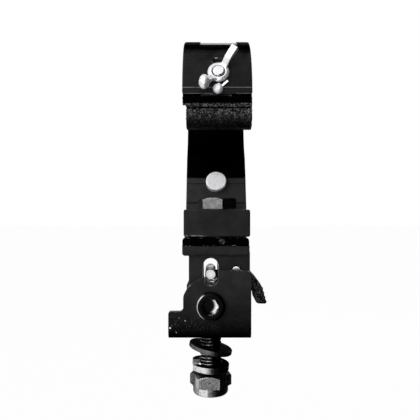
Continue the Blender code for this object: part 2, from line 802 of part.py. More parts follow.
def slot_outline(left, right, low, high, steps=8):
    """An upright slot with round ends."""
    radius = (right - left) / 2
    middle = (left + right) / 2
    points = arc((middle, high - radius), radius, 0, math.pi, steps)
    return points + arc((middle, low + radius), radius, math.pi, 2 * math.pi, steps)


def along_y(name, radius, low, high, x, z, sides=SIDES):
    """A plain round bar along Y, from AXIS_Y + low to AXIS_Y + high."""
    bar = rod(name, radius, low, high, sides)
    return move(bar, (x, AXIS_Y, z), Matrix.Rotation(-math.pi / 2, 4, "X"))


def make_swivel_block():
    left = SWIVEL_SHIFT - SWIVEL_W / 2
    right = left + SWIVEL_W
    front, back = SWIVEL_FRONT_Y, SWIVEL_FRONT_Y + SWIVEL_DEPTH
    outline = [(left, front), (right, front), (right, back), (left, back)]
    block = prism("swivel_block", outline, "xy", SWIVEL_BOTTOM_Z, SWIVEL_TOP_Z, black_paint("swivel_paint"))
    soften(block, 1.1 * MM)
    cove_low = SWIVEL_TOP_Z - COVE_H
    for edge, inward in ((front, 1), (back, -1)):
        near, far = sorted((edge - inward * MM, edge + inward * COVE_DEPTH))
        strip = [(left - MM, near), (right + MM, near), (right + MM, far), (left - MM, far)]
        cut(block, prism(f"cove_cut_{inward}", strip, "xy", cove_low, SWIVEL_TOP_Z + MM))
    for side in (-1, 1):
        low, high = sorted((AXIS_Y + side * EAR_IN, AXIS_Y + side * EAR_OUT))
        ear = prism(f"ear_{side}", ear_outline(), "xz", low, high)
        join(block, soften(ear, 0.5 * MM))
    bolt = rod("tapped_cut", THREAD_HOLE, SWIVEL_BOTTOM_Z - 3 * MM, SWIVEL_TOP_Z + MM)
    cut(block, move(bolt, (SWIVEL_X, AXIS_Y, 0)))
    reach = EAR_OUT + 2 * MM
    slot_left = PIVOT_X - SLOT_W / 2
    slot_low = SLOT_TOP_Z - SLOT_L
    slot = slot_outline(slot_left, slot_left + SLOT_W, slot_low, SLOT_TOP_Z)
    cut(block, prism("slot_cut", slot, "xz", AXIS_Y - reach, AXIS_Y))
    long_slot = slot_outline(slot_left, slot_left + SLOT_W, slot_low - BACK_SLOT_EXTRA, SLOT_TOP_Z)
    cut(block, prism("long_slot_cut", long_slot, "xz", AXIS_Y, AXIS_Y + reach))
    sleeve_r = SLEEVE_D / 2 + CLEAR
    cut(block, along_y("sleeve_cut", sleeve_r, -reach, reach, PIVOT_X, PIVOT_Z))
    lever_r = LEVER_PIN_D / 2 + CLEAR
    cut(block, along_y("lever_pin_cut", lever_r, -reach, reach, LEVER_PIN_X, LEVER_PIN_Z, SIDES_SMALL))
    set_z = SWIVEL_TOP_Z - COVE_H / 2
    set_r = SET_SCREW_D / 2 + CLEAR
    cut(block, along_y("set_screw_cut", set_r, -SWIVEL_DEPTH, 0, SET_SCREW_X, set_z, 12))


def make_set_screw():
    near = -SWIVEL_DEPTH / 2 + COVE_DEPTH + CLEAR
    far = -BOLT_D / 2 - 2 * CLEAR
    screw = rod("set_screw", SET_SCREW_D / 2, near, far, 12, black_steel("set_screw_steel"), 0.2 * MM)
    socket = prism("set_socket_cut", hex_outline(1.5 * MM), "xy", near - MM, near + 1.2 * MM)
    cut(screw, socket)
    for obj in (screw, socket):
        turn = Matrix.Rotation(-math.pi / 2, 4, "X")
        move(obj, (SET_SCREW_X, AXIS_Y, SWIVEL_TOP_Z - COVE_H / 2), turn)


def rim_point(apex, way):
    """Where a notch flank that leaves the apex along the way meets the rim."""
    half = apex.dot(way)
    return apex + way * (-half + math.sqrt(half * half + INDEX_R**2 - apex.length_squared))


def index_outline():
    """The index block: a rim with notches above, a square foot below, drawn about the pivot."""
    apex = Vector(NOTCH_APEX)
    right = rim_point(apex, Vector((math.sin(NOTCH_SHALLOW), math.cos(NOTCH_SHALLOW))))
    left = rim_point(apex, Vector((-math.sin(NOTCH_STEEP), math.cos(NOTCH_STEEP))))
    right_angle = math.atan2(right.y, right.x)
    points = arc((0, 0), INDEX_R, math.radians(-20), right_angle, 8)
    for k in range(NOTCH_COUNT):
        turn = Matrix.Rotation(k * INDEX_STEP, 2)
        if k:
            points.append(tuple(turn @ right))
        points += [tuple(turn @ apex), tuple(turn @ left)]
    last_left = math.atan2(left.y, left.x) + (NOTCH_COUNT - 1) * INDEX_STEP
    points += arc((0, 0), INDEX_R, last_left, last_left + math.radians(6), 2)[1:]
    foot = -WEB_REACH + CLEAR
    half = index_foot_half()
    shoulder = foot + INDEX_FOOT_H
    points += [(-half, shoulder), (-half, foot), (half, foot), (half, shoulder)]
    return [(PIVOT_X + x, PIVOT_Z + z) for x, z in points]


def index_foot_half():
    return STUD_HEAD_D / 2 + INDEX_FOOT_EDGE


def make_index_block():
    half = INDEX_W / 2
    block = prism("index_block", index_outline(), "xz", AXIS_Y - half, AXIS_Y + half, black_steel("index_steel"))
    cut(block, along_y("index_bore_cut", SLEEVE_D / 2 + CLEAR, -half - MM, half + MM, PIVOT_X, PIVOT_Z))
    pocket_top = WEB_TOP_Z + STUD_HEAD_H + 2 * CLEAR
    pocket = rod("head_pocket_cut", STUD_HEAD_D / 2 + CLEAR, WEB_TOP_Z - MM, pocket_top)
    cut(block, move(pocket, (PIVOT_X, AXIS_Y, 0)))
    for side in (-1, 1):
        hole_r = INDEX_SCREW_D / 2 + CLEAR
        hole_top = WEB_TOP_Z + INDEX_HOLE_DEPTH
        hole = rod(f"index_screw_cut_{side}", hole_r, WEB_TOP_Z - MM, hole_top, 12)
        cut(block, move(hole, (PIVOT_X + side * index_screw_reach(), AXIS_Y, 0)))


def index_screw_reach():
    return STUD_HEAD_D / 2 + INDEX_SCREW_OUT


def make_index_screws():
    """The two countersunk screws that hold the index block down to the web."""
    shank = INDEX_SCREW_D / 2
    profile = [
        (0, 0),
        (INDEX_SCREW_HEAD_D / 2, 0),
        (shank, INDEX_SCREW_HEAD_H),
        (shank, INDEX_SCREW_L),
        (0, INDEX_SCREW_L),
    ]
    for label, side in (("left", -1), ("right", 1)):
        name = f"index_screw_{label}"
        screw = turned(name, profile, 12, zinc_steel(f"{name}_steel"))
        place = (PIVOT_X + side * index_screw_reach(), AXIS_Y, WEB_BOTTOM_Z + INDEX_SCREW_INSET)
        move(screw, place)


def lever_outline():
    """The side of the lever: fork end at the lock pin, boss, and the thumb piece on the right."""
    end_r = LEVER_END_H / 2
    boss = (LEVER_PIN_X, LEVER_PIN_Z)
    points = arc((PIVOT_X, LOCK_PIN_Z), end_r, 0, math.pi * 1.5, 12)
    points += arc(boss, LEVER_BOSS_R, math.radians(232), math.radians(300), 4)
    points += [(x, PIVOT_Z + z) for x, z in THUMB_INNER]
    points += [(x, PIVOT_Z + z) for x, z in THUMB_OUTER]
    points += arc(boss, LEVER_BOSS_R, math.radians(20), math.radians(150), 10)
    points.append((PIVOT_X + end_r + LEVER_NECK_L, LOCK_PIN_Z))
    return points


def make_lever():
    half = LEVER_W / 2
    lever = prism(
        "release_lever", lever_outline(), "xz", AXIS_Y - half, AXIS_Y + half,
        rough_casting("lever_cast"),
    )
    soften(lever, 0.4 * MM)
    gap = half - LEVER_ARM_T
    corners = [
        (PIVOT_X - 5 * MM, AXIS_Y - gap),
        (LEVER_BRIDGE_X, AXIS_Y - gap),
        (LEVER_BRIDGE_X, AXIS_Y + gap),
        (PIVOT_X - 5 * MM, AXIS_Y + gap),
    ]
    cut(lever, prism("arm_gap_cut", corners, "xy", PIVOT_Z - 5 * MM, SWIVEL_BOTTOM_Z))
    reach = half + MM
    pin_r = LEVER_PIN_D / 2 + CLEAR
    cut(lever, along_y("lever_bore_cut", pin_r, -reach, reach, LEVER_PIN_X, LEVER_PIN_Z, SIDES_SMALL))
    neck_r = LOCK_PIN_NECK_D / 2 + CLEAR
    neck = arc((PIVOT_X, LOCK_PIN_Z), neck_r, -math.pi / 2, math.pi / 2, 6)
    neck += [(PIVOT_X - 4 * MM, LOCK_PIN_Z + neck_r), (PIVOT_X - 4 * MM, LOCK_PIN_Z - neck_r)]
    cut(lever, prism("neck_cut", neck, "xz", AXIS_Y - reach, AXIS_Y + reach))
    outer = [Vector((x, PIVOT_Z + z)) for x, z in THUMB_OUTER[1:-2]]
    for k in range(THUMB_RIBS):
        place = outer[0].lerp(outer[-1], k / (THUMB_RIBS - 1))
        nearest = min(zip(outer, outer[1:]), key=lambda pair: segment_distance(place, pair))
        middle = on_segment(place, nearest)
        rib_x = middle.x - RIB_INSET
        rib = along_y(f"rib_{k}", RIB_R, -half + 0.6 * MM, half - 0.6 * MM, rib_x, middle.y, 8)
        join(lever, rib)


def on_segment(point, pair):
    """The point of a straight piece that lies nearest to the given point."""
    start, end = pair
    way = end - start
    share = max(0.0, min(1.0, (point - start).dot(way) / way.length_squared))
    return start + way * share


def segment_distance(point, pair):
    return (on_segment(point, pair) - point).length


def make_lock_pin():
    """The pin that drops into the notches, with a neck where each lever arm holds it."""
    radius = LOCK_PIN_D / 2
    neck = LOCK_PIN_NECK_D / 2
    inner = LEVER_W / 2 - LEVER_ARM_T - CLEAR
    outer = LEVER_W / 2 + CLEAR
    end = EAR_OUT - CLEAR
    edge = 0.4 * MM
    profile = [
        (0, -end), (radius - edge, -end), (radius, -end + edge), (radius, -outer),
        (neck, -outer), (neck, -inner), (radius, -inner), (radius, inner), (neck, inner),
        (neck, outer), (radius, outer), (radius, end - edge), (radius - edge, end), (0, end),
    ]
    pin = turned("lock_pin", profile, SIDES, zinc_steel("lock_pin_steel"))
    move(pin, (PIVOT_X, AXIS_Y, LOCK_PIN_Z), Matrix.Rotation(-math.pi / 2, 4, "X"))


def make_lever_pin_and_spring():
    turn = Matrix.Rotation(-math.pi / 2, 4, "X")
    place = (LEVER_PIN_X, AXIS_Y, LEVER_PIN_Z)
    pin = rod(
        "lever_pin", LEVER_PIN_D / 2, -EAR_OUT, EAR_OUT, SIDES_SMALL,
        zinc_steel("lever_pin_steel"), 0.3 * MM,
    )
    move(pin, place, turn)
    radius = LEVER_PIN_D / 2 + CLEAR + LEVER_SPRING_WIRE / 2
    spring = wire_coil(
        "lever_spring",
        radius,
        LEVER_SPRING_WIRE,
        LEVER_SPRING_TURNS,
        (3 * MM, 3 * MM),
        black_steel("lever_spring_steel"),
    )
    move(spring, place, turn)


def bracket_side_outline():
    """The side of the bracket, drawn about the pivot."""
    right, left, foot = BRACKET_RIGHT, -BRACKET_LEFT, -WEB_REACH - PLATE_T
    corner = 2.5 * MM
    points = [(left, foot), (right, foot)]
    points += arc((right - corner, BRACKET_TOP - corner), corner, 0, math.pi / 2, 5)
    points += [(0, BRACKET_TOP)]
    side_angle = math.acos(-BRACKET_SIDE / BRACKET_ARC_R)
    points += arc((0, 0), BRACKET_ARC_R, math.radians(104), side_angle, 10)
    foot_top = foot + BRACKET_FOOT_H
    centre = (-BRACKET_SIDE - BRACKET_FILLET, foot_top + BRACKET_FILLET)
    points += arc(centre, BRACKET_FILLET, 0, -math.pi / 2, 5)
    points += arc((left + MM, foot_top - MM), MM, math.pi / 2, math.pi, 3)
    return [(PIVOT_X + x, PIVOT_Z + z) for x, z in points]


def bracket_fold_outline():
    """The folded plate seen along X: two cheeks and a web with rounded folds."""
    inner_r = FOLD_R - PLATE_T
    top = PIVOT_Z + BRACKET_TOP + MM
    low_outer = WEB_BOTTOM_Z + FOLD_R
    points = [(-CHEEK_OUT, top)]
    points += arc((-CHEEK_OUT + FOLD_R, low_outer), FOLD_R, math.pi, math.pi * 1.5, 6)
    points += arc((CHEEK_OUT - FOLD_R, low_outer), FOLD_R, -math.pi / 2, 0, 6)
    points += [(CHEEK_OUT, top), (CHEEK_IN, top)]
    points += arc((CHEEK_IN - inner_r, WEB_TOP_Z + inner_r), inner_r, 0, -math.pi / 2, 3)
    points += arc((-CHEEK_IN + inner_r, WEB_TOP_Z + inner_r), inner_r, -math.pi / 2, -math.pi, 3)
    points += [(-CHEEK_IN, top)]
    return [(AXIS_Y + y, z) for y, z in points]


def make_bracket():
    left = PIVOT_X - BRACKET_LEFT - MM
    right = PIVOT_X + BRACKET_RIGHT + MM
    bracket = prism("tilt_bracket", bracket_fold_outline(), "yz", left, right, black_paint("bracket_paint"))
    reach = CHEEK_OUT + MM
    side = prism("side_form", bracket_side_outline(), "xz", AXIS_Y - reach, AXIS_Y + reach)
    combine(bracket, side, "INTERSECT")
    notch_left = PIVOT_X - SLOT_W / 2
    notch_top = PIVOT_Z + BRACKET_TOP + SLOT_W
    for label, end, direction in (("front", FRONT_NOTCH_END, -1), ("back", BACK_NOTCH_END, 1)):
        notch = slot_outline(notch_left, notch_left + SLOT_W, PIVOT_Z + end, notch_top)
        low, high = sorted((AXIS_Y, AXIS_Y + direction * reach))
        cut(bracket, prism(f"{label}_notch_cut", notch, "xz", low, high))
    foot_cut = [
        (left, PIVOT_Z + BRACKET_TOP),
        (PIVOT_X - BRACKET_SIDE, PIVOT_Z + BRACKET_TOP),
        (PIVOT_X - BRACKET_SIDE, WEB_TOP_Z + MM),
        (left, WEB_TOP_Z + MM),
    ]
    cut(bracket, prism("back_foot_cut", foot_cut, "xz", AXIS_Y, AXIS_Y + reach))
    hole_r = PIVOT_SCREW_D / 2 + CLEAR
    cut(bracket, along_y("cheek_cut", hole_r, -reach, reach, PIVOT_X, PIVOT_Z))
    web = rod("web_cut", THREAD_HOLE, WEB_BOTTOM_Z - MM, WEB_TOP_Z + MM)
    cut(bracket, move(web, (PIVOT_X, AXIS_Y, 0)))
    wall = CLEAR / math.cos(math.pi / 4)
    head_r = INDEX_SCREW_HEAD_D / 2 + wall
    shank_r = INDEX_SCREW_D / 2 + wall
    seat_z = WEB_BOTTOM_Z + INDEX_SCREW_INSET
    profile = [
        (0, WEB_BOTTOM_Z - MM),
        (head_r, WEB_BOTTOM_Z - MM),
        (head_r, seat_z),
        (shank_r, seat_z + INDEX_SCREW_HEAD_H),
        (shank_r, WEB_TOP_Z + MM),
        (0, WEB_TOP_Z + MM),
    ]
    for direction in (-1, 1):
        hole = turned(f"web_screw_cut_{direction}", profile, 12)
        cut(bracket, move(hole, (PIVOT_X + direction * index_screw_reach(), AXIS_Y, 0)))


def make_pivot_screw():
    """The low round head in front, and the shank that carries the nut at the back."""
    head = -CHEEK_OUT - CLEAR
    front = head - PIVOT_HEAD_H
    radius = PIVOT_HEAD_D / 2
    end = CHEEK_OUT + CLEAR + PIVOT_NUT_H + MM
    shank = PIVOT_SCREW_D / 2
    profile = [
        (0, front),
        (radius - 1.1 * MM, front),
        (radius - 0.35 * MM, front + 0.35 * MM),
        (radius, front + 1.1 * MM),
        (radius, head),
        (shank, head),
        (shank, end - 0.6 * MM),
        (shank - 0.6 * MM, end),
        (0, end),
    ]
    screw = turned("pivot_screw", profile, SIDES_LARGE, black_steel("pivot_screw_steel"))
    mouth_r = PIVOT_MOUTH_D / 2
    throat_r = PIVOT_HEX_AF / 2
    mouth = [
        (0, front - MM),
        (mouth_r + MM, front - MM),
        (mouth_r, front),
        (throat_r, front + PIVOT_MOUTH_DEPTH),
        (0, front + PIVOT_MOUTH_DEPTH),
    ]
    mouth_form = turned("mouth_cut", mouth, SIDES)
    socket = prism("socket_cut", hex_outline(PIVOT_HEX_AF), "xy", front - MM, front + PIVOT_HEX_DEPTH)
    cut(screw, mouth_form, socket)
    for obj in (screw, mouth_form, socket):
        move(obj, (PIVOT_X, AXIS_Y, PIVOT_Z), Matrix.Rotation(-math.pi / 2, 4, "X"))


def make_pivot_hardware():
    turn = Matrix.Rotation(-math.pi / 2, 4, "X")
    place = (PIVOT_X, AXIS_Y, PIVOT_Z)
    bore = PIVOT_SCREW_D / 2 + CLEAR
    sleeve = ring(
        "pivot_sleeve", bore, SLEEVE_D / 2, -SWIVEL_DEPTH / 2, SWIVEL_DEPTH / 2,
        SIDES, zinc_steel("sleeve_steel"),
    )
    move(sleeve, place, turn)
    hole = SLEEVE_D / 2 + CLEAR
    layers = [
        ("thrust_washer", THRUST_WASHER_D / 2, EAR_OUT + CLEAR, CHEEK_IN - CLEAR),
        ("index_spacer", SPACER_D / 2, INDEX_W / 2 + CLEAR, EAR_IN - CLEAR),
    ]
    for layer, outer, near, far in layers:
        for label, side in (("front", -1), ("back", 1)):
            name = f"{layer}_{label}"
            low, high = sorted((side * near, side * far))
            piece = ring(name, hole, outer, low, high, SIDES, zinc_steel(f"{name}_steel"))
            move(piece, place, turn)

    nut_low = CHEEK_OUT + CLEAR
    nut = prism(
        "pivot_nut", hex_outline(PIVOT_NUT_AF), "xy", nut_low, nut_low + PIVOT_NUT_H,
        black_steel("pivot_nut_steel"),
    )
    soften(nut, 0.5 * MM)
    nut_bore = rod("nut_bore_cut", bore, nut_low - MM, nut_low + PIVOT_NUT_H + MM)
    cut(nut, nut_bore)
    move(nut, place, turn)
    move(nut_bore, place, turn)


def make_base_stud():
    radius = BOLT_D / 2
    head = WEB_TOP_Z + CLEAR
    end = WEB_TOP_Z - BASE_BOLT_L
    profile = [
        (0, end),
        (radius - 0.9 * MM, end),
        (radius, end + 0.9 * MM),
        (radius, head),
        (STUD_HEAD_D / 2, head),
        (STUD_HEAD_D / 2, head + STUD_HEAD_H),
        (0, head + STUD_HEAD_H),
    ]
    stud = turned("base_stud", profile, SIDES, black_steel("base_stud_steel"))
    move(stud, (PIVOT_X, AXIS_Y, 0))


def make_base_washers():
    tilt = Matrix.Rotation(FLAT_WASHER_TILT, 4, "Y")
    half = FLAT_WASHER_T / 2
    washer = ring(
        "flat_washer", FLAT_WASHER_HOLE / 2, FLAT_WASHER_D / 2, -half, half,
        SIDES_LARGE, black_steel("flat_washer_steel"), 0.3 * MM,
    )
    move(washer, (PIVOT_X, AXIS_Y, WEB_BOTTOM_Z - FLAT_WASHER_DROP), tilt)

    outer = SPRING_WASHER_D / 2
    inner = outer - SPRING_WASHER_SECTION
    half = SPRING_WASHER_H / 2
    start = SPRING_WASHER_SPLIT
    sweep = 2 * math.pi - SPRING_WASHER_OPENING
    bm = bmesh.new()
    sections = []
    for i in range(SIDES_LARGE + 1):
        share = i / SIDES_LARGE
        angle = start + sweep * share
        middle = SPRING_WASHER_RISE * (share - 0.5)
        corners = [(inner, -half), (outer, -half), (outer, half), (inner, half)]
        sections.append(
            [
                bm.verts.new((r * math.cos(angle), r * math.sin(angle), middle + h))
                for r, h in corners
            ]
        )
    for near, far in zip(sections, sections[1:]):
        for k in range(4):
            following = (k + 1) % 4
            bm.faces.new((near[k], near[following], far[following], far[k]))
    bm.faces.new(sections[0])
    bm.faces.new(sections[-1])
    washer = object_from(bm, "spring_washer", black_steel("spring_washer_steel"))
    lean = Matrix.Rotation(SPRING_WASHER_TILT, 4, "Y")
    move(washer, (PIVOT_X, AXIS_Y, WEB_BOTTOM_Z - SPRING_WASHER_DROP), lean)


def make_lock_nut():
    top = WEB_BOTTOM_Z - LOCK_NUT_DROP
    low = top - LOCK_NUT_H
    collar_low = low - LOCK_COLLAR_H
    corner = LOCK_NUT_AF / 2 / math.cos(math.pi / 6)
    collar = LOCK_COLLAR_D / 2
    nut = prism(
        "lock_nut", hex_outline(LOCK_NUT_AF, LOCK_NUT_TURN), "xy", low, top,
        black_steel("lock_nut_steel"),
    )
    crown = [
        (0, low - 0.2 * MM),
        (collar, low - 0.2 * MM),
        (corner + 0.2 * MM, low + 1 * MM),
        (corner + 0.2 * MM, top - 0.8 * MM),
        (LOCK_NUT_AF / 2, top + 0.2 * MM),
        (0, top + 0.2 * MM),
    ]
    crown_form = turned("nut_crown", crown, SIDES_LARGE)
    combine(nut, crown_form, "INTERSECT")
    collar_profile = [
        (0, collar_low),
        (collar - 2.2 * MM, collar_low),
        (collar - 0.9 * MM, collar_low + 0.45 * MM),
        (collar, collar_low + 1.6 * MM),
        (collar, low + 0.4 * MM),
        (0, low + 0.4 * MM),
    ]
    collar_form = turned("nut_collar", collar_profile, SIDES_LARGE)
    join(nut, collar_form)
    seat_r = THREAD_HOLE + INSERT_T + CLEAR
    insert_low = collar_low + 1 * MM
    insert_high = low - 0.5 * MM
    bore = [
        (0, collar_low - MM),
        (THREAD_HOLE + 0.5 * MM, collar_low - MM),
        (THREAD_HOLE + 0.5 * MM, insert_low - CLEAR),
        (seat_r, insert_low - CLEAR),
        (seat_r, insert_high + CLEAR),
        (THREAD_HOLE, insert_high + CLEAR),
        (THREAD_HOLE, top + MM),
        (0, top + MM),
    ]
    bore_form = turned("nut_bore", bore, SIDES)
    cut(nut, bore_form)
    insert = ring(
        "nylon_insert", THREAD_HOLE, THREAD_HOLE + INSERT_T, insert_low, insert_high,
        SIDES, dark_nylon("insert_nylon"),
    )
    for obj in (nut, crown_form, collar_form, bore_form, insert):
        move(obj, (PIVOT_X, AXIS_Y, 0))


def main():
    clear_scene()
    make_hook()
    make_stop_stud()
    make_keeper()
    make_gate()
    make_gate_pin_and_spring()
    make_wing_screw()
    make_swivel_bolt()
    make_swivel_block()
    make_set_screw()
    make_index_block()
    make_index_screws()
    make_lever()
    make_lock_pin()
    make_lever_pin_and_spring()
    make_bracket()
    make_pivot_screw()
    make_pivot_hardware()
    make_base_stud()
    make_base_washers()
    make_lock_nut()


main()
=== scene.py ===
"""Looks of the articulated clamp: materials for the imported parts, finer pieces where metal is
threaded, cast or chamfered, a plain studio and the photograph's camera. Lengths are in metres.
"""

import json
import math

import bmesh
import bpy
from mathutils import Matrix, Vector, noise


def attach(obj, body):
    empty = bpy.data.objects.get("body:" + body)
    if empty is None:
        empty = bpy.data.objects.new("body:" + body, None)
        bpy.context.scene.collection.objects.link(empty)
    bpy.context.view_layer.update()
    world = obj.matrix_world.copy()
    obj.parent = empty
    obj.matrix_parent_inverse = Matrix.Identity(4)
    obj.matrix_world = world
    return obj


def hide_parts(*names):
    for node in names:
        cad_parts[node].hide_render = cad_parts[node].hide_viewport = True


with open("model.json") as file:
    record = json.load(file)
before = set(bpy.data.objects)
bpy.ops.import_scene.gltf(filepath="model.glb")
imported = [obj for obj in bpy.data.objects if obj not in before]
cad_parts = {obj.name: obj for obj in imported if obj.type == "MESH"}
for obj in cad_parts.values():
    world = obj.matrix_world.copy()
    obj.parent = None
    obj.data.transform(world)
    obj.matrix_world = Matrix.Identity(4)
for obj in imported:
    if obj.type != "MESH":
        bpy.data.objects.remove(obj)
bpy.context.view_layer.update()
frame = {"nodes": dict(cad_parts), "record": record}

MM = 0.001

# Camera, worked out from the ellipses and known diameters in the photograph
CAMERA_PLACE = Vector((-3.1, -244, -48)) * MM
CAMERA_FOCAL_PX = 500
IMAGE_PX = 420
SENSOR_MM = 36
HORIZON_PX = 209.5

# Studio
FLOOR_Z = -0.25
FLOOR_HALF = 6.0
FLOOR_SEEN_WHITE = 0.975
WORLD_LEVEL = 0.3
CARD_X = 0.16
LOW_CARD_X = 0.02
CARD_Y = (-0.75, 0.16)
CARD_Z = (-0.245, 0.22)
LIGHT_TARGET = Vector((0, 0, -50)) * MM
# Name, place, width and height, and watts of each lamp
LIGHTS = (
    ("key", (-0.42, -0.62, 0.34), (0.8, 0.7), 4.0),
    ("front", (-0.05, -0.8, 0.02), (0.7, 0.55), 1.2),
    ("back", (0.35, 0.6, 0.35), (0.7, 0.7), 1.5),
)

# Places on the hook that the paint, the wear and the painted shade follow
SEAT_R = 25.5 * MM
HOOK_R = 32 * MM
# Heights over which painted shade over the crown fades in
CROWN_SHADE_Z = (12 * MM, 28 * MM)
NECK_Y = (0, 20 * MM)
RAMP_TOP_Z = -32.2 * MM
# Heights of thin painted shade lines across the ramp
RAMP_SHADE_LINES = (-35.0 * MM, -44.6 * MM)
FOOT_TOP_Z = -48 * MM
FOOT_BOTTOM_Z = -60.3 * MM
FOOT_FRONT_Y = (-19.2 * MM, -18.4 * MM)
WORN_FOOT_X = (-8 * MM, -2 * MM)
MILLED_HEIGHT = 3.6 * MM
GROOVE_X = (-7.5 * MM, 9.1 * MM)
GROOVE_SEEN_Z = (26.9 * MM, 27.6 * MM)
GROOVE_FLOOR_R = (HOOK_R - 0.8 * MM, HOOK_R - 0.6 * MM)
LIP_LINES = (3.9 * MM, 1.3 * MM)
LIP_LINE_Y = -25 * MM
SPARE_HOLE = (0, -27.5 * MM, 16.4 * MM)
SPARE_RIM_R = 2.2 * MM

# Places on the gate, the swivel block and the bracket
LEDGE_Z = -2.7 * MM
# Height of a painted shade line under the ledge, then the heights over which painted shade darkens the
# gate towards its tip
LEDGE_SHADE_LINE_Z = (LEDGE_Z - 2.2 * MM, LEDGE_Z - 1.6 * MM)
GATE_SHADE_Z = (-11 * MM, -6 * MM)
COVE_LOW_Z = -64.1 * MM
SLOT_X = (-7.2 * MM, 1.6 * MM)
SLOT_Z = (-83.6 * MM, -68.9 * MM)
CHEEK_FRONT_Y = -26.0 * MM
# Heights over which painted shade darkens the cheek to black at the fold
CHEEK_SHADE_Z = (-106 * MM, -80 * MM)
SCUFF_X = (-4 * MM, 4 * MM)
SCUFF_Z = (-101 * MM, -94 * MM)
# X, Z and size of each chip, in millimetres
BRACKET_CHIPS = ((-16.7, -95.2, 0.4), (-14.0, -96.5, 0.35), (-20.5, -99.6, 0.5), (-17.9, -101.6, 0.35))

# Pivot screw
PIVOT_X = -2.8 * MM
PIVOT_Z = -89.9 * MM
PIVOT_HEAD_R = 6.3 * MM
PIVOT_MOUTH_R = 4 * MM

# Rounded end of the wing nut's lower blade: centre and half sizes
WING_LOBE = (Vector((-5.5, -37.3, 4.8)) * MM, Vector((2.3, 2.4, 3.2)) * MM)

# Stud, washers and lock nut, about the stem's axis
STEM_X = -2.8 * MM
STEM_Y = -8 * MM
STUD_R = 5 * MM
STUD_PITCH = 1.5 * MM
STUD_DEPTH = 0.85 * MM
STUD_LOW_Z = -132.9 * MM
STUD_SEAT_Z = -101.3 * MM
STUD_TOP_Z = -99.3 * MM
STUD_HEAD_R = 7 * MM
NUT_FLATS = 17 * MM
NUT_TOP_Z = -124.4 * MM
NUT_LOW_Z = -130.4 * MM
NUT_TURN = math.radians(25)
NUT_BORE_R = 5.3 * MM
NUT_CHAMFER = 1.3 * MM
# Across the nut's corner that gets a painted highlight
NUT_CORNER_X = (STEM_X - 7.0 * MM, STEM_X - 5.6 * MM)
COLLAR_R = 8.3 * MM
COLLAR_LOW_Z = -134.2 * MM
COLLAR_BEND = 1.4 * MM
COLLAR_GLINT_X = (STEM_X - 5.4 * MM, STEM_X - 1.3 * MM)

# Greys of the finishes, then the gloss of the paint and the tint of grazing sheens
# The first paint grey is painted shade, the black the coating goes to where shade is painted; the second
# is its grey where lit
PAINT_SHADE_BLACK = 0.0005
PAINT_GREY = 0.036
PAINT_DUST = 0.03
PAINT_RUBBED = 0.08
BARE_STEEL = 0.62
CAST_BLACK = 0.0008
# Grey of the painted highlights on the tops of cast grains
GRAIN_TOP_HIGHLIGHT = 0.27
# Black of painted shade on the top faces of oxide steel, and the black of the socket screw's oxide
SHADE_AND_OXIDE_BLACK = 0.004
GLINT_GREY = 0.72
PAINT_GLOSS = 0.12
PAINT_RIM = 0.3
OXIDE_RIM = 0.2

# How grey the paint is painted in each zone, from black to its grey, as painted light and shade
LIP_PAINTED_LIGHT = 0.4
FOOT_PAINTED_LIGHT = 0.58
RAMP_PAINTED_LIGHT_ADDED = 0.6
SWIVEL_PAINTED_LIGHT = 0.64
CHEEK_PAINTED_LIGHT = 0.68

NODES = frame["nodes"]


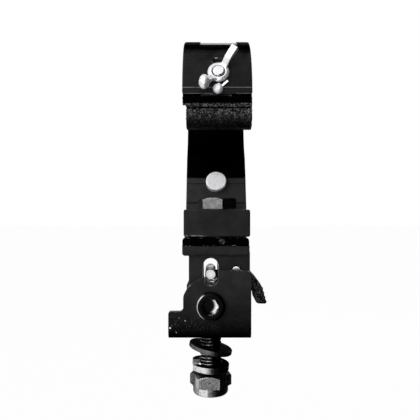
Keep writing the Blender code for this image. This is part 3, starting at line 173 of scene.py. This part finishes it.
class Shader:
    """A node tree with the few calls that the materials below need."""

    def __init__(self, name):
        self.material = bpy.data.materials.new(name)
        self.material.use_nodes = True
        self.tree = self.material.node_tree
        self.surface = self.tree.nodes["Principled BSDF"]
        self.tex = self.tree.nodes.new("ShaderNodeTexCoord")
        self.coords = self.tex.outputs["Object"]

    def node(self, kind, **settings):
        node = self.tree.nodes.new(kind)
        for key, value in settings.items():
            setattr(node, key, value)
        return node

    def put(self, socket, value):
        """Link a socket, or set it where the value is plain."""
        if isinstance(value, bpy.types.NodeSocket):
            self.tree.links.new(value, socket)
        else:
            socket.default_value = value

    def noise(self, size, detail=4.0, roughness=0.55, stretch=(1, 1, 1)):
        """Cloudy grey values with features of about the given size."""
        mapping = self.node("ShaderNodeMapping")
        self.put(mapping.inputs["Vector"], self.coords)
        mapping.inputs["Scale"].default_value = stretch
        noise_node = self.node("ShaderNodeTexNoise")
        self.put(noise_node.inputs["Vector"], mapping.outputs["Vector"])
        noise_node.inputs["Scale"].default_value = 1 / size
        noise_node.inputs["Detail"].default_value = detail
        noise_node.inputs["Roughness"].default_value = roughness
        return noise_node.outputs["Fac"]

    def facing(self, axis):
        """How far the surface faces along the object's own X, Y or Z, from -1 to 1."""
        split = self.node("ShaderNodeSeparateXYZ")
        self.put(split.inputs[0], self.tex.outputs["Normal"])
        return split.outputs[axis]

    def place(self, axis):
        """The coordinate of the shaded point along X, Y or Z, in metres."""
        split = self.node("ShaderNodeSeparateXYZ")
        self.put(split.inputs[0], self.coords)
        return split.outputs[axis]

    def between(self, axis, low, high, soft=0.3 * MM):
        """1 where the coordinate lies between two places, fading over the soft width."""
        value = self.place(axis)
        rise = self.ramp(value, low - soft, low + soft)
        return self.both(rise, self.fall(value, high - soft, high + soft))

    def line(self, axis, at, half):
        """1 on a thin line across the axis, with soft edges."""
        return self.between(axis, at - half, at + half, half)

    def distance(self, centre, scale=(1, 1, 1)):
        """Distance of the shaded point from a place, with each axis scaled."""
        mapping = self.node("ShaderNodeMapping")
        self.put(mapping.inputs["Vector"], self.coords)
        mapping.inputs["Scale"].default_value = scale
        mapping.inputs["Location"].default_value = [-c * k for c, k in zip(centre, scale)]
        length = self.node("ShaderNodeVectorMath", operation="LENGTH")
        self.put(length.inputs[0], mapping.outputs["Vector"])
        return length.outputs["Value"]

    def ramp(self, value, low, high, out_low=0.0, out_high=1.0):
        """An eased step from one output to the other as the value goes from low to high."""
        node = self.node("ShaderNodeMapRange", interpolation_type="SMOOTHSTEP")
        self.put(node.inputs["Value"], value)
        node.inputs["From Min"].default_value = low
        node.inputs["From Max"].default_value = high
        node.inputs["To Min"].default_value = out_low
        node.inputs["To Max"].default_value = out_high
        return node.outputs["Result"]

    def fall(self, value, low, high):
        """An eased step from 1 down to 0."""
        return self.ramp(value, low, high, 1.0, 0.0)

    def math(self, operation, first, second):
        node = self.node("ShaderNodeMath", operation=operation)
        self.put(node.inputs[0], first)
        self.put(node.inputs[1], second)
        return node.outputs[0]

    def both(self, *values):
        """The product of any number of masks."""
        result = values[0]
        for value in values[1:]:
            result = self.math("MULTIPLY", result, value)
        return result

    def either(self, first, second):
        return self.math("MAXIMUM", first, second)

    def less(self, value):
        return self.math("SUBTRACT", 1.0, value)

    def mix(self, share, first, second):
        """A colour between two greys or colours."""
        node = self.node("ShaderNodeMix", data_type="RGBA")
        self.put(node.inputs["Factor"], share)
        self.put(node.inputs[6], first)
        self.put(node.inputs[7], second)
        return node.outputs[2]

    def edges(self, radius, low, high):
        """1 near convex or concave edges of the mesh, and 0 on its open faces."""
        rounded = self.node("ShaderNodeBevel", samples=6)
        rounded.inputs["Radius"].default_value = radius
        flat = self.node("ShaderNodeNewGeometry")
        dot = self.node("ShaderNodeVectorMath", operation="DOT_PRODUCT")
        self.put(dot.inputs[0], rounded.outputs["Normal"])
        self.put(dot.inputs[1], flat.outputs["Normal"])
        return self.ramp(self.math("SUBTRACT", 1.0, dot.outputs["Value"]), low, high)

    def relief(self, layers, round_edges=0.0):
        """Bump from (height value, depth in metres) layers, over edges that read as rounded."""
        normal = None
        if round_edges:
            bevel = self.node("ShaderNodeBevel", samples=6)
            bevel.inputs["Radius"].default_value = round_edges
            normal = bevel.outputs["Normal"]
        for height, depth in layers:
            bump = self.node("ShaderNodeBump")
            self.put(bump.inputs["Height"], height)
            bump.inputs["Distance"].default_value = depth
            bump.inputs["Strength"].default_value = 1.0
            if normal is not None:
                self.put(bump.inputs["Normal"], normal)
            normal = bump.outputs["Normal"]
        self.put(self.surface.inputs["Normal"], normal)

    def finish(self, colour, roughness, metallic, gloss=0.5, rim=1.0):
        self.put(self.surface.inputs["Base Color"], colour)
        self.put(self.surface.inputs["Roughness"], roughness)
        self.put(self.surface.inputs["Metallic"], metallic)
        self.surface.inputs["Specular IOR Level"].default_value = gloss
        self.surface.inputs["Specular Tint"].default_value = grey(rim)
        return self.material


def grey(level):
    return (level, level, level * 1.02, 1.0)


def satin_black(name, tone, bare, marks=None, wear=0.5):
    """Satin black coating with a fine peel and chipped edges. The tone is painted light and shade: how
    grey the coating is painted, from 0, black, to 1, and near 0 it turns to black metal as painted
    shade. Bare is where bright metal shows, and marks are tool marks under the coating."""
    s = Shader(name)
    patches = s.noise(7 * MM, detail=6, roughness=0.6)
    peel = s.noise(0.5 * MM, detail=2)
    dust = s.noise(0.3 * MM, detail=3, roughness=0.7)
    chips = s.ramp(s.noise(1.5 * MM, detail=6, roughness=0.68), 0.57, 0.63)
    edge = s.edges(0.4 * MM, 0.03, 0.2)
    worn = s.either(s.both(chips, edge, wear), bare(s))
    # Painted light and shade: the tone darkens the coating towards black where shade is painted
    level = s.both(tone(s), s.ramp(patches, 0.3, 0.7, 0.7, 1.3))
    coating = s.mix(level, grey(PAINT_SHADE_BLACK), grey(PAINT_GREY))
    specks = s.both(s.ramp(dust, 0.68, 0.8, 0.0, 0.5), level)
    coating = s.mix(specks, coating, grey(PAINT_DUST))
    coating = s.mix(s.both(edge, level, 0.35), coating, grey(PAINT_RUBBED))
    colour = s.mix(worn, coating, grey(BARE_STEEL))
    # Painted shade: where the tone is low the coating turns to black metal
    painted_shade_metal = s.fall(level, 0.05, 0.35)
    roughness = s.ramp(patches, 0.3, 0.75, 0.34, 0.5)
    layers = [(peel, 0.012 * MM), (worn, -0.05 * MM)]
    if marks is not None:
        layers.append((marks(s), 0.05 * MM))
    s.relief(layers, round_edges=0.35 * MM)
    return s.finish(colour, roughness, s.either(worn, painted_shade_metal), PAINT_GLOSS, PAINT_RIM)


def hook_painted_shade(s):
    """Painted light and shade: grey where the lip, ramp and foot are lit, painted shade over the crown
    and in the seat, a painted shadow of the lip and gate across the neck, and thin painted shade lines
    across the ramp.
    """
    # Painted shade over the crown and in the seat, and a painted shadow of the lip and gate on the neck
    crown = s.fall(s.place("Z"), *CROWN_SHADE_Z)
    seat = s.ramp(s.distance((0, 0, 0), (0, 1, 1)), SEAT_R + 0.3 * MM, SEAT_R + 1.0 * MM)
    above = s.ramp(s.place("Z"), RAMP_TOP_Z, RAMP_TOP_Z + 0.5 * MM)
    neck = s.both(s.between("Y", *NECK_Y), above)
    shade = s.both(crown, seat, s.less(neck))
    ramp = s.between("Z", FOOT_TOP_Z, RAMP_TOP_Z)
    for z in RAMP_SHADE_LINES:
        # Thin painted shade lines across the ramp
        shade = s.both(shade, s.less(s.line("Z", z, 0.15 * MM)))
    # Painted light: the lip and the foot get different greys, and the ramp is painted lighter still
    level = s.ramp(s.place("Z"), FOOT_TOP_Z - 0.2 * MM, FOOT_TOP_Z + 0.2 * MM, FOOT_PAINTED_LIGHT, LIP_PAINTED_LIGHT)
    return s.both(shade, s.math("ADD", level, s.both(ramp, RAMP_PAINTED_LIGHT_ADDED)))


def hook_groove(s):
    """The machined floor of the groove over the crown."""
    radius = s.distance((0, 0, 0), (0, 1, 1))
    across = s.between("X", *GROOVE_X, 0.1 * MM)
    return s.both(across, s.ramp(s.place("Z"), *GROOVE_SEEN_Z), s.ramp(radius, *GROOVE_FLOOR_R))


def hook_bare(s):
    """The groove, the foot's worn lower edge on the left, two lines on the lip and a hole's rim."""
    ragged = s.ramp(s.noise(1.3 * MM, detail=5, roughness=0.7), 0.46, 0.56)
    low = s.between("Z", FOOT_BOTTOM_Z - MM, FOOT_BOTTOM_Z + 0.7 * MM)
    left = s.fall(s.place("X"), *WORN_FOOT_X)
    front = s.fall(s.place("Y"), *FOOT_FRONT_Y)
    bare = s.either(hook_groove(s), s.both(low, left, front, ragged, 0.8))
    lip = s.fall(s.place("Y"), LIP_LINE_Y - MM, LIP_LINE_Y)
    lip = s.both(lip, s.ramp(s.noise(5 * MM, detail=5), 0.35, 0.6, 0.15, 0.5))
    for z in LIP_LINES:
        bare = s.either(bare, s.both(lip, s.line("Z", z, 0.12 * MM)))
    hole = s.distance(SPARE_HOLE)
    outside = s.ramp(hole, SPARE_RIM_R - 0.4 * MM, SPARE_RIM_R - 0.2 * MM)
    rim = s.both(outside, s.fall(hole, SPARE_RIM_R, SPARE_RIM_R + 0.25 * MM))
    return s.either(bare, s.both(rim, ragged, 0.5))


def hook_marks(s):
    """Upright tool marks along the milled strip at the foot of the ramp."""
    lines = s.noise(0.5 * MM, detail=2, stretch=(1, 0.05, 0.05))
    return s.both(lines, s.between("Z", FOOT_TOP_Z, FOOT_TOP_Z + MILLED_HEIGHT))


def swivel_painted_shade(s):
    """Painted shadow: black in the cove under the foot, and grey below it."""
    return s.both(s.fall(s.place("Z"), COVE_LOW_Z - 0.5 * MM, COVE_LOW_Z), SWIVEL_PAINTED_LIGHT)


def swivel_bare(s):
    """The rubbed rim of the front slot."""
    box = s.both(s.between("X", *SLOT_X), s.between("Z", *SLOT_Z))
    return s.both(box, s.edges(0.6 * MM, 0.01, 0.1), 0.7)


def bracket_painted_shade(s):
    """Painted shade: grey at the top of the cheek, darkening to black at the fold."""
    return s.ramp(s.place("Z"), *CHEEK_SHADE_Z, 0.0, CHEEK_PAINTED_LIGHT)


def bracket_bare(s):
    """Chips and fine scuffs through the coating low on the front cheek."""
    ragged = s.ramp(s.noise(0.7 * MM, detail=5, roughness=0.7), 0.42, 0.52)
    spots = 0.0
    for x, z, size in BRACKET_CHIPS:
        near = s.distance((x * MM, 0, z * MM), (1, 0, 1))
        spots = s.either(spots, s.fall(near, size * 0.5 * MM, size * MM))
    front = s.fall(s.place("Y"), CHEEK_FRONT_Y - 0.3 * MM, CHEEK_FRONT_Y)
    fine = s.ramp(s.noise(0.4 * MM, detail=4, roughness=0.65), 0.62, 0.68, 0.0, 0.28)
    fewer_right = s.ramp(s.place("X"), *SCUFF_X, 1.0, 0.25)
    scuffed = s.both(fine, s.between("Z", *SCUFF_Z, 1.5 * MM), fewer_right)
    return s.both(s.either(s.both(spots, ragged), scuffed), front)


def gritty_black(name, where=None):
    """Black coating over a coarse casting, with painted highlights on the tops of the grains, and
    painted black shade where a given mask is 0.
    """
    s = Shader(name)
    grains = s.noise(0.5 * MM, detail=4, roughness=0.6)
    lumps = s.noise(1.8 * MM, detail=3)
    # Painted highlights on the tops of the grains
    tops = s.both(s.ramp(grains, 0.46, 0.68), s.ramp(lumps, 0.3, 0.6, 0.35, 1.0))
    painted_shade_metal = 0.0
    if where is not None:
        mask = where(s)
        tops = s.both(tops, mask)
        # Painted shade: where the mask is 0 the surface turns to black metal
        painted_shade_metal = s.fall(mask, 0.0, 0.3)
    colour = s.mix(tops, grey(CAST_BLACK), grey(GRAIN_TOP_HIGHLIGHT))
    roughness = s.ramp(grains, 0.3, 0.7, 0.6, 0.36)
    s.relief([(lumps, 0.1 * MM), (grains, 0.2 * MM)], round_edges=0.3 * MM)
    return s.finish(colour, roughness, painted_shade_metal, PAINT_GLOSS, PAINT_RIM)


def gate_highlight_and_shade(s):
    """Where the painted grain highlights show: none over the hinge, which is painted black as shade,
    none on a painted shade line under the ledge, full below it, and fading to painted shade towards the
    tip.
    """
    ledge = s.fall(s.place("Z"), LEDGE_Z - 0.2 * MM, LEDGE_Z + 0.2 * MM)
    groove = s.between("Z", *LEDGE_SHADE_LINE_Z, 0.15 * MM)
    return s.both(ledge, s.less(groove), s.ramp(s.place("Z"), *GATE_SHADE_Z, 0.14, 1.0))


def zinc_plate(name, level=0.86, rough=0.22, lumps=0.0, metal=1.0):
    """Bright plated steel with fine drawn lines and a little staining."""
    s = Shader(name)
    lines = s.noise(0.35 * MM, detail=3, stretch=(1, 1, 0.2))
    stains = s.noise(2.6 * MM, detail=6, roughness=0.65)
    edge = s.edges(0.22 * MM, 0.04, 0.3)
    colour = s.mix(s.ramp(stains, 0.45, 0.75), grey(level), grey(level * 0.74))
    colour = s.mix(s.both(edge, 0.5), colour, grey(0.93))
    roughness = s.ramp(stains, 0.3, 0.7, rough - 0.04, rough + 0.12)
    s.relief([(lines, 0.004 * MM), (s.noise(1.2 * MM, detail=3), lumps)], round_edges=0.16 * MM)
    return s.finish(colour, roughness, metal)


def oxide_steel(name, level=0.16, rough=0.26, bright=0.62, grit=0.0, painted_glint=None, top_shade=0.95):
    """Dark oxide on steel, rubbed bright along its edges, with painted shade making its top faces black.
    Grit adds specks and a coarse grain, and the glint mask is where a painted highlight shows."""
    s = Shader(name)
    stains = s.noise(1.6 * MM, detail=6, roughness=0.65)
    grain = s.noise(0.32 * MM, detail=4, roughness=0.6)
    edge = s.edges(0.3 * MM, 0.03, 0.2)
    tops = s.ramp(s.facing("Z"), 0.35, 0.8)
    rubbed = s.both(edge, s.ramp(stains, 0.36, 0.6), s.less(s.both(tops, 0.8)))
    colour = s.mix(s.ramp(stains, 0.35, 0.7), grey(level * 0.7), grey(level * 1.3))
    # Painted shade: the top faces are painted black
    colour = s.mix(s.both(tops, top_shade), colour, grey(SHADE_AND_OXIDE_BLACK))
    colour = s.mix(s.both(s.fall(grain, 0.36, 0.48), grit), colour, grey(0.02))
    colour = s.mix(s.both(s.ramp(grain, 0.54, 0.64), grit), colour, grey(0.55))
    # Painted highlight mixed into the colour where the glint mask is
    if painted_glint is not None:
        colour = s.mix(s.both(painted_glint(s), s.less(s.both(tops, top_shade))), colour, grey(GLINT_GREY))
    colour = s.mix(rubbed, colour, grey(bright))
    roughness = s.ramp(grain, 0.3, 0.7, rough - 0.05, rough + 0.14)
    s.relief([(grain, 0.012 * MM + grit * 0.08 * MM)], round_edges=0.2 * MM)
    return s.finish(colour, roughness, 1.0, rim=OXIDE_RIM)


def nut_glints(s):
    """Painted highlights: a bright spot on the left of the lock nut's collar with a faint one across it,
    and one on the corner above it.
    """
    collar = s.fall(s.place("Z"), NUT_LOW_Z - 0.2 * MM, NUT_LOW_Z)
    broken = s.ramp(s.noise(1.1 * MM, detail=4), 0.35, 0.5, 0.4, 1.0)
    patch = s.both(s.between("X", *COLLAR_GLINT_X, 0.6 * MM), broken)
    dim = s.ramp(s.place("X"), STEM_X - 5.2 * MM, STEM_X - 1.4 * MM, 0.25, 0.0)
    side = s.between("Z", NUT_LOW_Z + 0.3 * MM, NUT_TOP_Z - 1.2 * MM)
    front = s.fall(s.place("Y"), STEM_Y - MM, STEM_Y)
    corner = s.both(s.between("X", *NUT_CORNER_X, 0.2 * MM), side, front, 0.85)
    return s.either(s.both(collar, s.either(patch, dim)), corner)


def thread_crest_glints(s):
    """Painted highlight on the crests of the stud's thread, on the left of its middle."""
    radius = s.distance((STEM_X, STEM_Y, 0), (1, 1, 0))
    crest = s.ramp(radius, STUD_R - 0.5 * MM, STUD_R - 0.15 * MM)
    left = s.fall(s.place("X"), STEM_X - 0.5 * MM, STEM_X + 1.5 * MM)
    return s.both(crest, left, s.ramp(s.noise(0.8 * MM, detail=4), 0.4, 0.6, 0.1, 0.6))


def spring_glint(s):
    """Painted highlight on the side of the spring washer left of its middle."""
    left = s.fall(s.place("X"), STEM_X - 3 * MM, STEM_X + MM)
    return s.both(left, s.ramp(s.noise(1.4 * MM, detail=4), 0.3, 0.55, 0.55, 1.0))


def socket_steel(name):
    """Black oxide on a socket screw, with a painted highlight round the left of its head and a painted
    reflection on the right walls of its hexagon.
    """
    s = Shader(name)
    grain = s.noise(0.35 * MM, detail=4, roughness=0.6)
    radius = s.distance((PIVOT_X, 0, PIVOT_Z), (1, 0, 1))
    # Painted highlight on the left of the head's rim, and painted reflection inside the hexagon on its
    # right
    left = s.fall(s.place("X"), PIVOT_X - 4.6 * MM, PIVOT_X - 2.2 * MM)
    rim = s.ramp(radius, PIVOT_HEAD_R - 0.8 * MM, PIVOT_HEAD_R - 0.55 * MM)
    from_left = s.distance((PIVOT_X - 2 * MM, 0, PIVOT_Z), (1, 0, 1))
    right = s.ramp(from_left, 3.2 * MM, 4.6 * MM)
    inside = s.fall(radius, PIVOT_MOUTH_R - 0.5 * MM, PIVOT_MOUTH_R - 0.2 * MM)
    bright = s.either(s.both(rim, left, 0.75), s.both(inside, right))
    patchy_highlight = s.both(bright, s.ramp(grain, 0.3, 0.55, 0.5, 1.0))
    s.relief([(grain, 0.01 * MM)], round_edges=0.5 * MM)
    colour = s.mix(patchy_highlight, grey(SHADE_AND_OXIDE_BLACK), grey(0.7))
    return s.finish(colour, s.ramp(grain, 0.3, 0.7, 0.2, 0.35), 1.0)


def nylon(name):
    """Matte black plastic."""
    s = Shader(name)
    grain = s.noise(0.4 * MM, detail=3)
    s.relief([(grain, 0.02 * MM)])
    return s.finish(s.mix(grain, grey(0.014), grey(0.03)), s.ramp(grain, 0.3, 0.7, 0.45, 0.6), 0.0)


SLOT_FINISH = {
    "hook_paint": satin_black("satin_black_hook", hook_painted_shade, hook_bare, hook_marks, wear=0.4),
    "swivel_paint": satin_black("satin_black_swivel", swivel_painted_shade, swivel_bare, wear=0.6),
    "bracket_paint": satin_black("satin_black_bracket", bracket_painted_shade, bracket_bare, wear=0.8),
    "gate_cast": gritty_black("cast_black_gate", gate_highlight_and_shade),
    "lever_cast": gritty_black("cast_black_lever"),
    "zinc_steel": zinc_plate("bright_zinc"),
    "black_steel": oxide_steel("dark_oxide"),
    "nylon": nylon("black_nylon"),
}
NODE_FINISH = {
    "wing_nut": zinc_plate("cast_zinc", level=0.9, rough=0.3, lumps=0.04 * MM, metal=0.5),
    "stop_stud": zinc_plate("passivated_zinc", level=0.9, rough=0.5, metal=0.45),
    "keeper_stud": zinc_plate("knob_zinc", level=0.9, rough=0.4, metal=0.5),
    "gate_spring": zinc_plate("spring_wire", level=0.2, rough=0.4),
    "lock_nut": oxide_steel("gritty_oxide", level=0.17, bright=0.8, grit=0.8, painted_glint=nut_glints),
    "spring_washer": oxide_steel("spring_steel_painted_glint", level=0.04, rough=0.3, painted_glint=spring_glint),
    "base_stud": oxide_steel("threaded_steel", level=0.015, bright=0.15, painted_glint=thread_crest_glints),
    "flat_washer": oxide_steel("rolled_steel", level=0.12, bright=0.35, top_shade=0.4),
    "swivel_bolt": oxide_steel("bolt_oxide", level=0.14),
    "lock_pin": zinc_plate("drawn_zinc", level=0.5, rough=0.3),
    "pivot_screw": socket_steel("socket_screw_steel"),
    "set_screw": oxide_steel("black_oxide", level=0.015, rough=0.2, bright=0.4),
}
SLOTS = {entry["node"]: entry["material_slot"] for entry in frame["record"]["subparts"]}
BODIES = {node: body for body, nodes in frame["record"]["behaviour"]["bodies"].items() for node in nodes}


def finish_of(node):
    return NODE_FINISH.get(node, SLOT_FINISH[SLOTS[node]])


def dress_nodes():
    """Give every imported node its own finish, or else that of its slot in the record."""
    for name in SLOTS:
        for place in NODES[name].material_slots:
            place.link = "OBJECT"
            place.material = finish_of(name)


def mesh_from(bm, name):
    mesh = bpy.data.meshes.new(name)
    bm.to_mesh(mesh)
    bm.free()
    return mesh


def add_object(name, data):
    item = bpy.data.objects.new(name, data)
    bpy.context.scene.collection.objects.link(item)
    return item


def stand_in(bm, node, crease=math.radians(35)):
    """Turn the mesh into a piece that stands for one CAD node, with its finish and body."""
    bmesh.ops.recalc_face_normals(bm, faces=bm.faces)
    for face in bm.faces:
        face.smooth = True
    for edge in bm.edges:
        edge.smooth = edge.calc_face_angle(0.0) < crease
    mesh = mesh_from(bm, node + "_fine")
    piece = add_object(node + "_fine", mesh)
    mesh.materials.append(finish_of(node))
    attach(piece, BODIES[node])
    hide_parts(node)


def cast_skin(node, voxel, rounds, grit, grain, lobes=()):
    """A copy of the node's mesh, with round lobes added, then melted and smoothed like a casting
    with grit worked inwards. A lobe is the centre and half sizes of an ellipsoid."""
    source = bmesh.new()
    source.from_mesh(NODES[node].data)
    bmesh.ops.remove_doubles(source, verts=source.verts, dist=1e-6)
    for centre, half_sizes in lobes:
        placing = Matrix.Translation(centre) @ Matrix.Diagonal((*half_sizes, 1))
        bmesh.ops.create_icosphere(source, subdivisions=4, radius=1, matrix=placing)
    mesh = mesh_from(source, node + "_melt")
    melt = add_object(node + "_melt", mesh)
    remesh = melt.modifiers.new("melt", "REMESH")
    remesh.mode = "VOXEL"
    remesh.voxel_size = voxel
    smooth = melt.modifiers.new("smooth", "SMOOTH")
    smooth.iterations = rounds
    smooth.factor = 0.5
    graph = bpy.context.evaluated_depsgraph_get()
    bm = bmesh.new()
    bm.from_mesh(melt.evaluated_get(graph).to_mesh())
    bpy.data.objects.remove(melt)
    bpy.data.meshes.remove(mesh)
    bm.normal_update()
    moves = []
    for vert in bm.verts:
        rough = noise.fractal(vert.co / grain, 0.8, 2.1, 3)
        moves.append(-vert.normal * grit * min(max(0.5 + rough, 0.0), 1.0))
    for vert, move in zip(bm.verts, moves):
        vert.co += move
    stand_in(bm, node, crease=math.pi)


def thread_rings(bm, radius, depth, pitch, low, high, steps=48, rows=8):
    """A right-handed thread about local Z with a chamfer at each end, open at both ends."""
    core = radius - depth
    count = rows * (math.ceil((high - low) / pitch) + 2) + 1
    columns = []
    for j in range(steps):
        angle = 2 * math.pi * j / steps
        column = []
        for i in range(count):
            height = low + pitch * (j / steps + i / rows - 1)
            from_root = abs((i % rows) / rows - 0.5) * 2
            crest = min(max((from_root - 0.2) / 0.6, 0.0), 1.0)
            end = max(min(height - low, high - height), 0.0)
            r = min(core + depth * crest, core + end)
            height = min(max(height, low), high)
            column.append(bm.verts.new((r * math.cos(angle), r * math.sin(angle), height)))
        columns.append(column)
    for j in range(steps):
        after = columns[(j + 1) % steps]
        shift = rows if j == steps - 1 else 0
        for i in range(count - 1 - shift):
            bm.faces.new((columns[j][i], after[i + shift], after[i + 1 + shift], columns[j][i + 1]))
    bmesh.ops.remove_doubles(bm, verts=bm.verts, dist=1e-7)
    bmesh.ops.dissolve_degenerate(bm, edges=bm.edges, dist=1e-7)


def revolve(bm, profile, steps=96, turn=0.0, closed=False):
    """A turned skin about local Z from (radius, height, flats) rows. Where flats isn't 0, the row
    is cut down to a hexagon of that width, so that chamfers curve down at its corners."""
    rings = []
    for radius, height, flats in profile:
        ring = []
        for j in range(steps):
            local = 2 * math.pi * j / steps
            r = radius
            if flats:
                side = (math.degrees(local) + 30) % 60 - 30
                r = min(radius, flats / 2 / math.cos(math.radians(side)))
            angle = local + turn
            ring.append(bm.verts.new((r * math.cos(angle), r * math.sin(angle), height)))
        rings.append(ring)
    pairs = list(zip(rings, rings[1:]))
    if closed:
        pairs.append((rings[-1], rings[0]))
    for lower, upper in pairs:
        for j in range(steps):
            k = (j + 1) % steps
            bm.faces.new((lower[j], lower[k], upper[k], upper[j]))
    if not closed:
        for ring in (rings[0], rings[-1]):
            bm.faces.new(ring)


def chamfer(flats, height, drop, rows=6):
    """Rows of a hexagon's conical chamfer, from the face's height down by the drop."""
    inner = flats / 2 * 0.97
    outer = flats / 2 / math.cos(math.pi / 6) + 0.05 * MM
    return [
        (inner + (outer - inner) * k / rows, height - drop * k / rows, flats)
        for k in range(rows + 1)
    ]


def make_base_stud():
    """The threaded stud under its low round head."""
    bm = bmesh.new()
    thread_rings(bm, STUD_R, STUD_DEPTH, STUD_PITCH, STUD_LOW_Z, STUD_SEAT_Z - 0.2 * MM)
    bmesh.ops.holes_fill(bm, edges=bm.edges, sides=0)
    head = [
        (STUD_R - STUD_DEPTH * 0.6, STUD_SEAT_Z - 0.6 * MM, 0),
        (STUD_R, STUD_SEAT_Z - 0.2 * MM, 0),
        (STUD_R, STUD_SEAT_Z, 0),
        (STUD_HEAD_R - 0.2 * MM, STUD_SEAT_Z, 0),
        (STUD_HEAD_R, STUD_SEAT_Z + 0.2 * MM, 0),
        (STUD_HEAD_R, STUD_TOP_Z - 0.4 * MM, 0),
        (STUD_HEAD_R - 0.4 * MM, STUD_TOP_Z, 0),
    ]
    revolve(bm, head, steps=64)
    bmesh.ops.translate(bm, vec=(STEM_X, STEM_Y, 0), verts=bm.verts)
    stand_in(bm, "base_stud")


def make_lock_nut():
    """A hexagon with curved chamfers over a round collar that is rolled in at its foot."""
    outside = [(NUT_BORE_R + 0.5 * MM, NUT_TOP_Z, 0)]
    outside += chamfer(NUT_FLATS, NUT_TOP_Z, NUT_CHAMFER)
    outside.append((NUT_FLATS, NUT_LOW_Z + 0.3 * MM, NUT_FLATS))
    outside.append((COLLAR_R + 0.25 * MM, NUT_LOW_Z, 0))
    outside.append((COLLAR_R - 0.1 * MM, NUT_LOW_Z - 0.15 * MM, 0))
    steps = 6
    for k in range(steps + 1):
        angle = math.pi / 2 * k / steps
        radius = COLLAR_R - COLLAR_BEND * (1 - math.cos(angle)) - 0.05 * MM
        outside.append((radius, COLLAR_LOW_Z + COLLAR_BEND * (1 - math.sin(angle)), 0))
    inside = [
        (NUT_BORE_R + 0.4 * MM, COLLAR_LOW_Z, 0),
        (NUT_BORE_R, COLLAR_LOW_Z + 0.4 * MM, 0),
        (NUT_BORE_R, NUT_TOP_Z - 0.5 * MM, 0),
    ]
    bm = bmesh.new()
    revolve(bm, outside + inside, turn=NUT_TURN, closed=True)
    bmesh.ops.translate(bm, vec=(STEM_X, STEM_Y, 0), verts=bm.verts)
    stand_in(bm, "lock_nut", crease=math.radians(28))


def make_pieces():
    cast_skin("wing_nut", voxel=0.22 * MM, rounds=26, grit=0.05 * MM, grain=0.9 * MM, lobes=[WING_LOBE])
    cast_skin("gate", voxel=0.26 * MM, rounds=2, grit=0.28 * MM, grain=0.7 * MM)
    cast_skin("release_lever", voxel=0.22 * MM, rounds=1, grit=0.14 * MM, grain=0.8 * MM)
    make_base_stud()
    make_lock_nut()


def make_camera():
    """The photograph's camera, level and looking along Y."""
    data = bpy.data.cameras.new("camera")
    data.sensor_width = SENSOR_MM
    data.lens = SENSOR_MM * CAMERA_FOCAL_PX / IMAGE_PX
    data.shift_y = (HORIZON_PX - IMAGE_PX / 2) / IMAGE_PX
    data.clip_start = 0.01
    camera = add_object("camera", data)
    camera.location = CAMERA_PLACE
    camera.rotation_euler = (math.pi / 2, 0, 0)
    bpy.context.scene.camera = camera


def soft_light(name, place, size, power):
    """A rectangular lamp that looks at the middle of the clamp."""
    data = bpy.data.lights.new(name, "AREA")
    data.shape = "RECTANGLE"
    data.size, data.size_y = size
    data.energy = power
    turn = (LIGHT_TARGET - Vector(place)).to_track_quat("-Z", "Y")
    light = add_object(name, data)
    light.matrix_world = Matrix.Translation(place) @ turn.to_matrix().to_4x4()


def white_when_seen(tree, low):
    """A strength of 1 for camera, glossy and transmission rays, and the low value for others."""
    rays = tree.nodes.new("ShaderNodeLightPath")
    seen = rays.outputs["Is Camera Ray"]
    for name in ("Is Glossy Ray", "Is Transmission Ray"):
        either = tree.nodes.new("ShaderNodeMath")
        either.operation = "MAXIMUM"
        tree.links.new(seen, either.inputs[0])
        tree.links.new(rays.outputs[name], either.inputs[1])
        seen = either.outputs[0]
    level = tree.nodes.new("ShaderNodeMapRange")
    level.inputs["To Min"].default_value = low
    tree.links.new(seen, level.inputs["Value"])
    return level.outputs["Result"]


def make_floor():
    """A pale floor that the camera sees as white."""
    bm = bmesh.new()
    bmesh.ops.create_grid(bm, x_segments=1, y_segments=1, size=FLOOR_HALF)
    floor = add_object("floor", mesh_from(bm, "floor"))
    floor.location = (0, 0, FLOOR_Z)

    s = Shader("pale_floor")
    tone = s.noise(0.4, detail=2)
    s.finish(s.mix(tone, grey(0.80), grey(0.84)), 0.9, 0.0)
    seen = white_when_seen(s.tree, 0.0)
    glow = s.node("ShaderNodeEmission")
    glow.inputs["Strength"].default_value = 1.0
    blend = s.node("ShaderNodeMixShader")
    s.put(blend.inputs["Fac"], s.both(seen, FLOOR_SEEN_WHITE))
    s.put(blend.inputs[1], s.surface.outputs["BSDF"])
    s.put(blend.inputs[2], glow.outputs["Emission"])
    s.put(s.tree.nodes["Material Output"].inputs["Surface"], blend.outputs["Shader"])
    floor.data.materials.append(s.material)


def make_world():
    """White where it is seen or mirrored, and a soft plain light on the object."""
    world = bpy.data.worlds.new("studio")
    world.use_nodes = True
    bpy.context.scene.world = world
    background = world.node_tree.nodes["Background"]
    background.inputs["Color"].default_value = (1, 1, 1, 1)
    strength = white_when_seen(world.node_tree, WORLD_LEVEL)
    world.node_tree.links.new(strength, background.inputs["Strength"])


def make_card(name, corners):
    """A black card, unseen by the camera, that metal mirrors on its right side."""
    bm = bmesh.new()
    bm.faces.new([bm.verts.new(corner) for corner in corners])
    mesh = mesh_from(bm, name)
    card = add_object(name, mesh)
    card.visible_camera = False
    s = Shader(name + "_black")
    weave = s.noise(2 * MM, detail=2)
    mesh.materials.append(s.finish(s.mix(weave, grey(0.004), grey(0.008)), 1.0, 0.0, gloss=0.0))


def make_cards():
    """One card upright on the right, and one low down from the middle to its foot."""
    near, far = CARD_Y
    low, high = CARD_Z
    side = ((near, low), (far, low), (far, high), (near, high))
    base = ((LOW_CARD_X, near), (CARD_X, near), (CARD_X, far), (LOW_CARD_X, far))
    make_card("side_card", [(CARD_X, y, z) for y, z in side])
    make_card("low_card", [(x, y, low) for x, y in base])


def make_studio():
    make_floor()
    make_world()
    make_cards()
    for name, place, size, power in LIGHTS:
        soft_light(name, place, size, power)


dress_nodes()
make_pieces()
make_camera()
make_studio()
bpy.context.scene.view_settings.view_transform = "Standard"
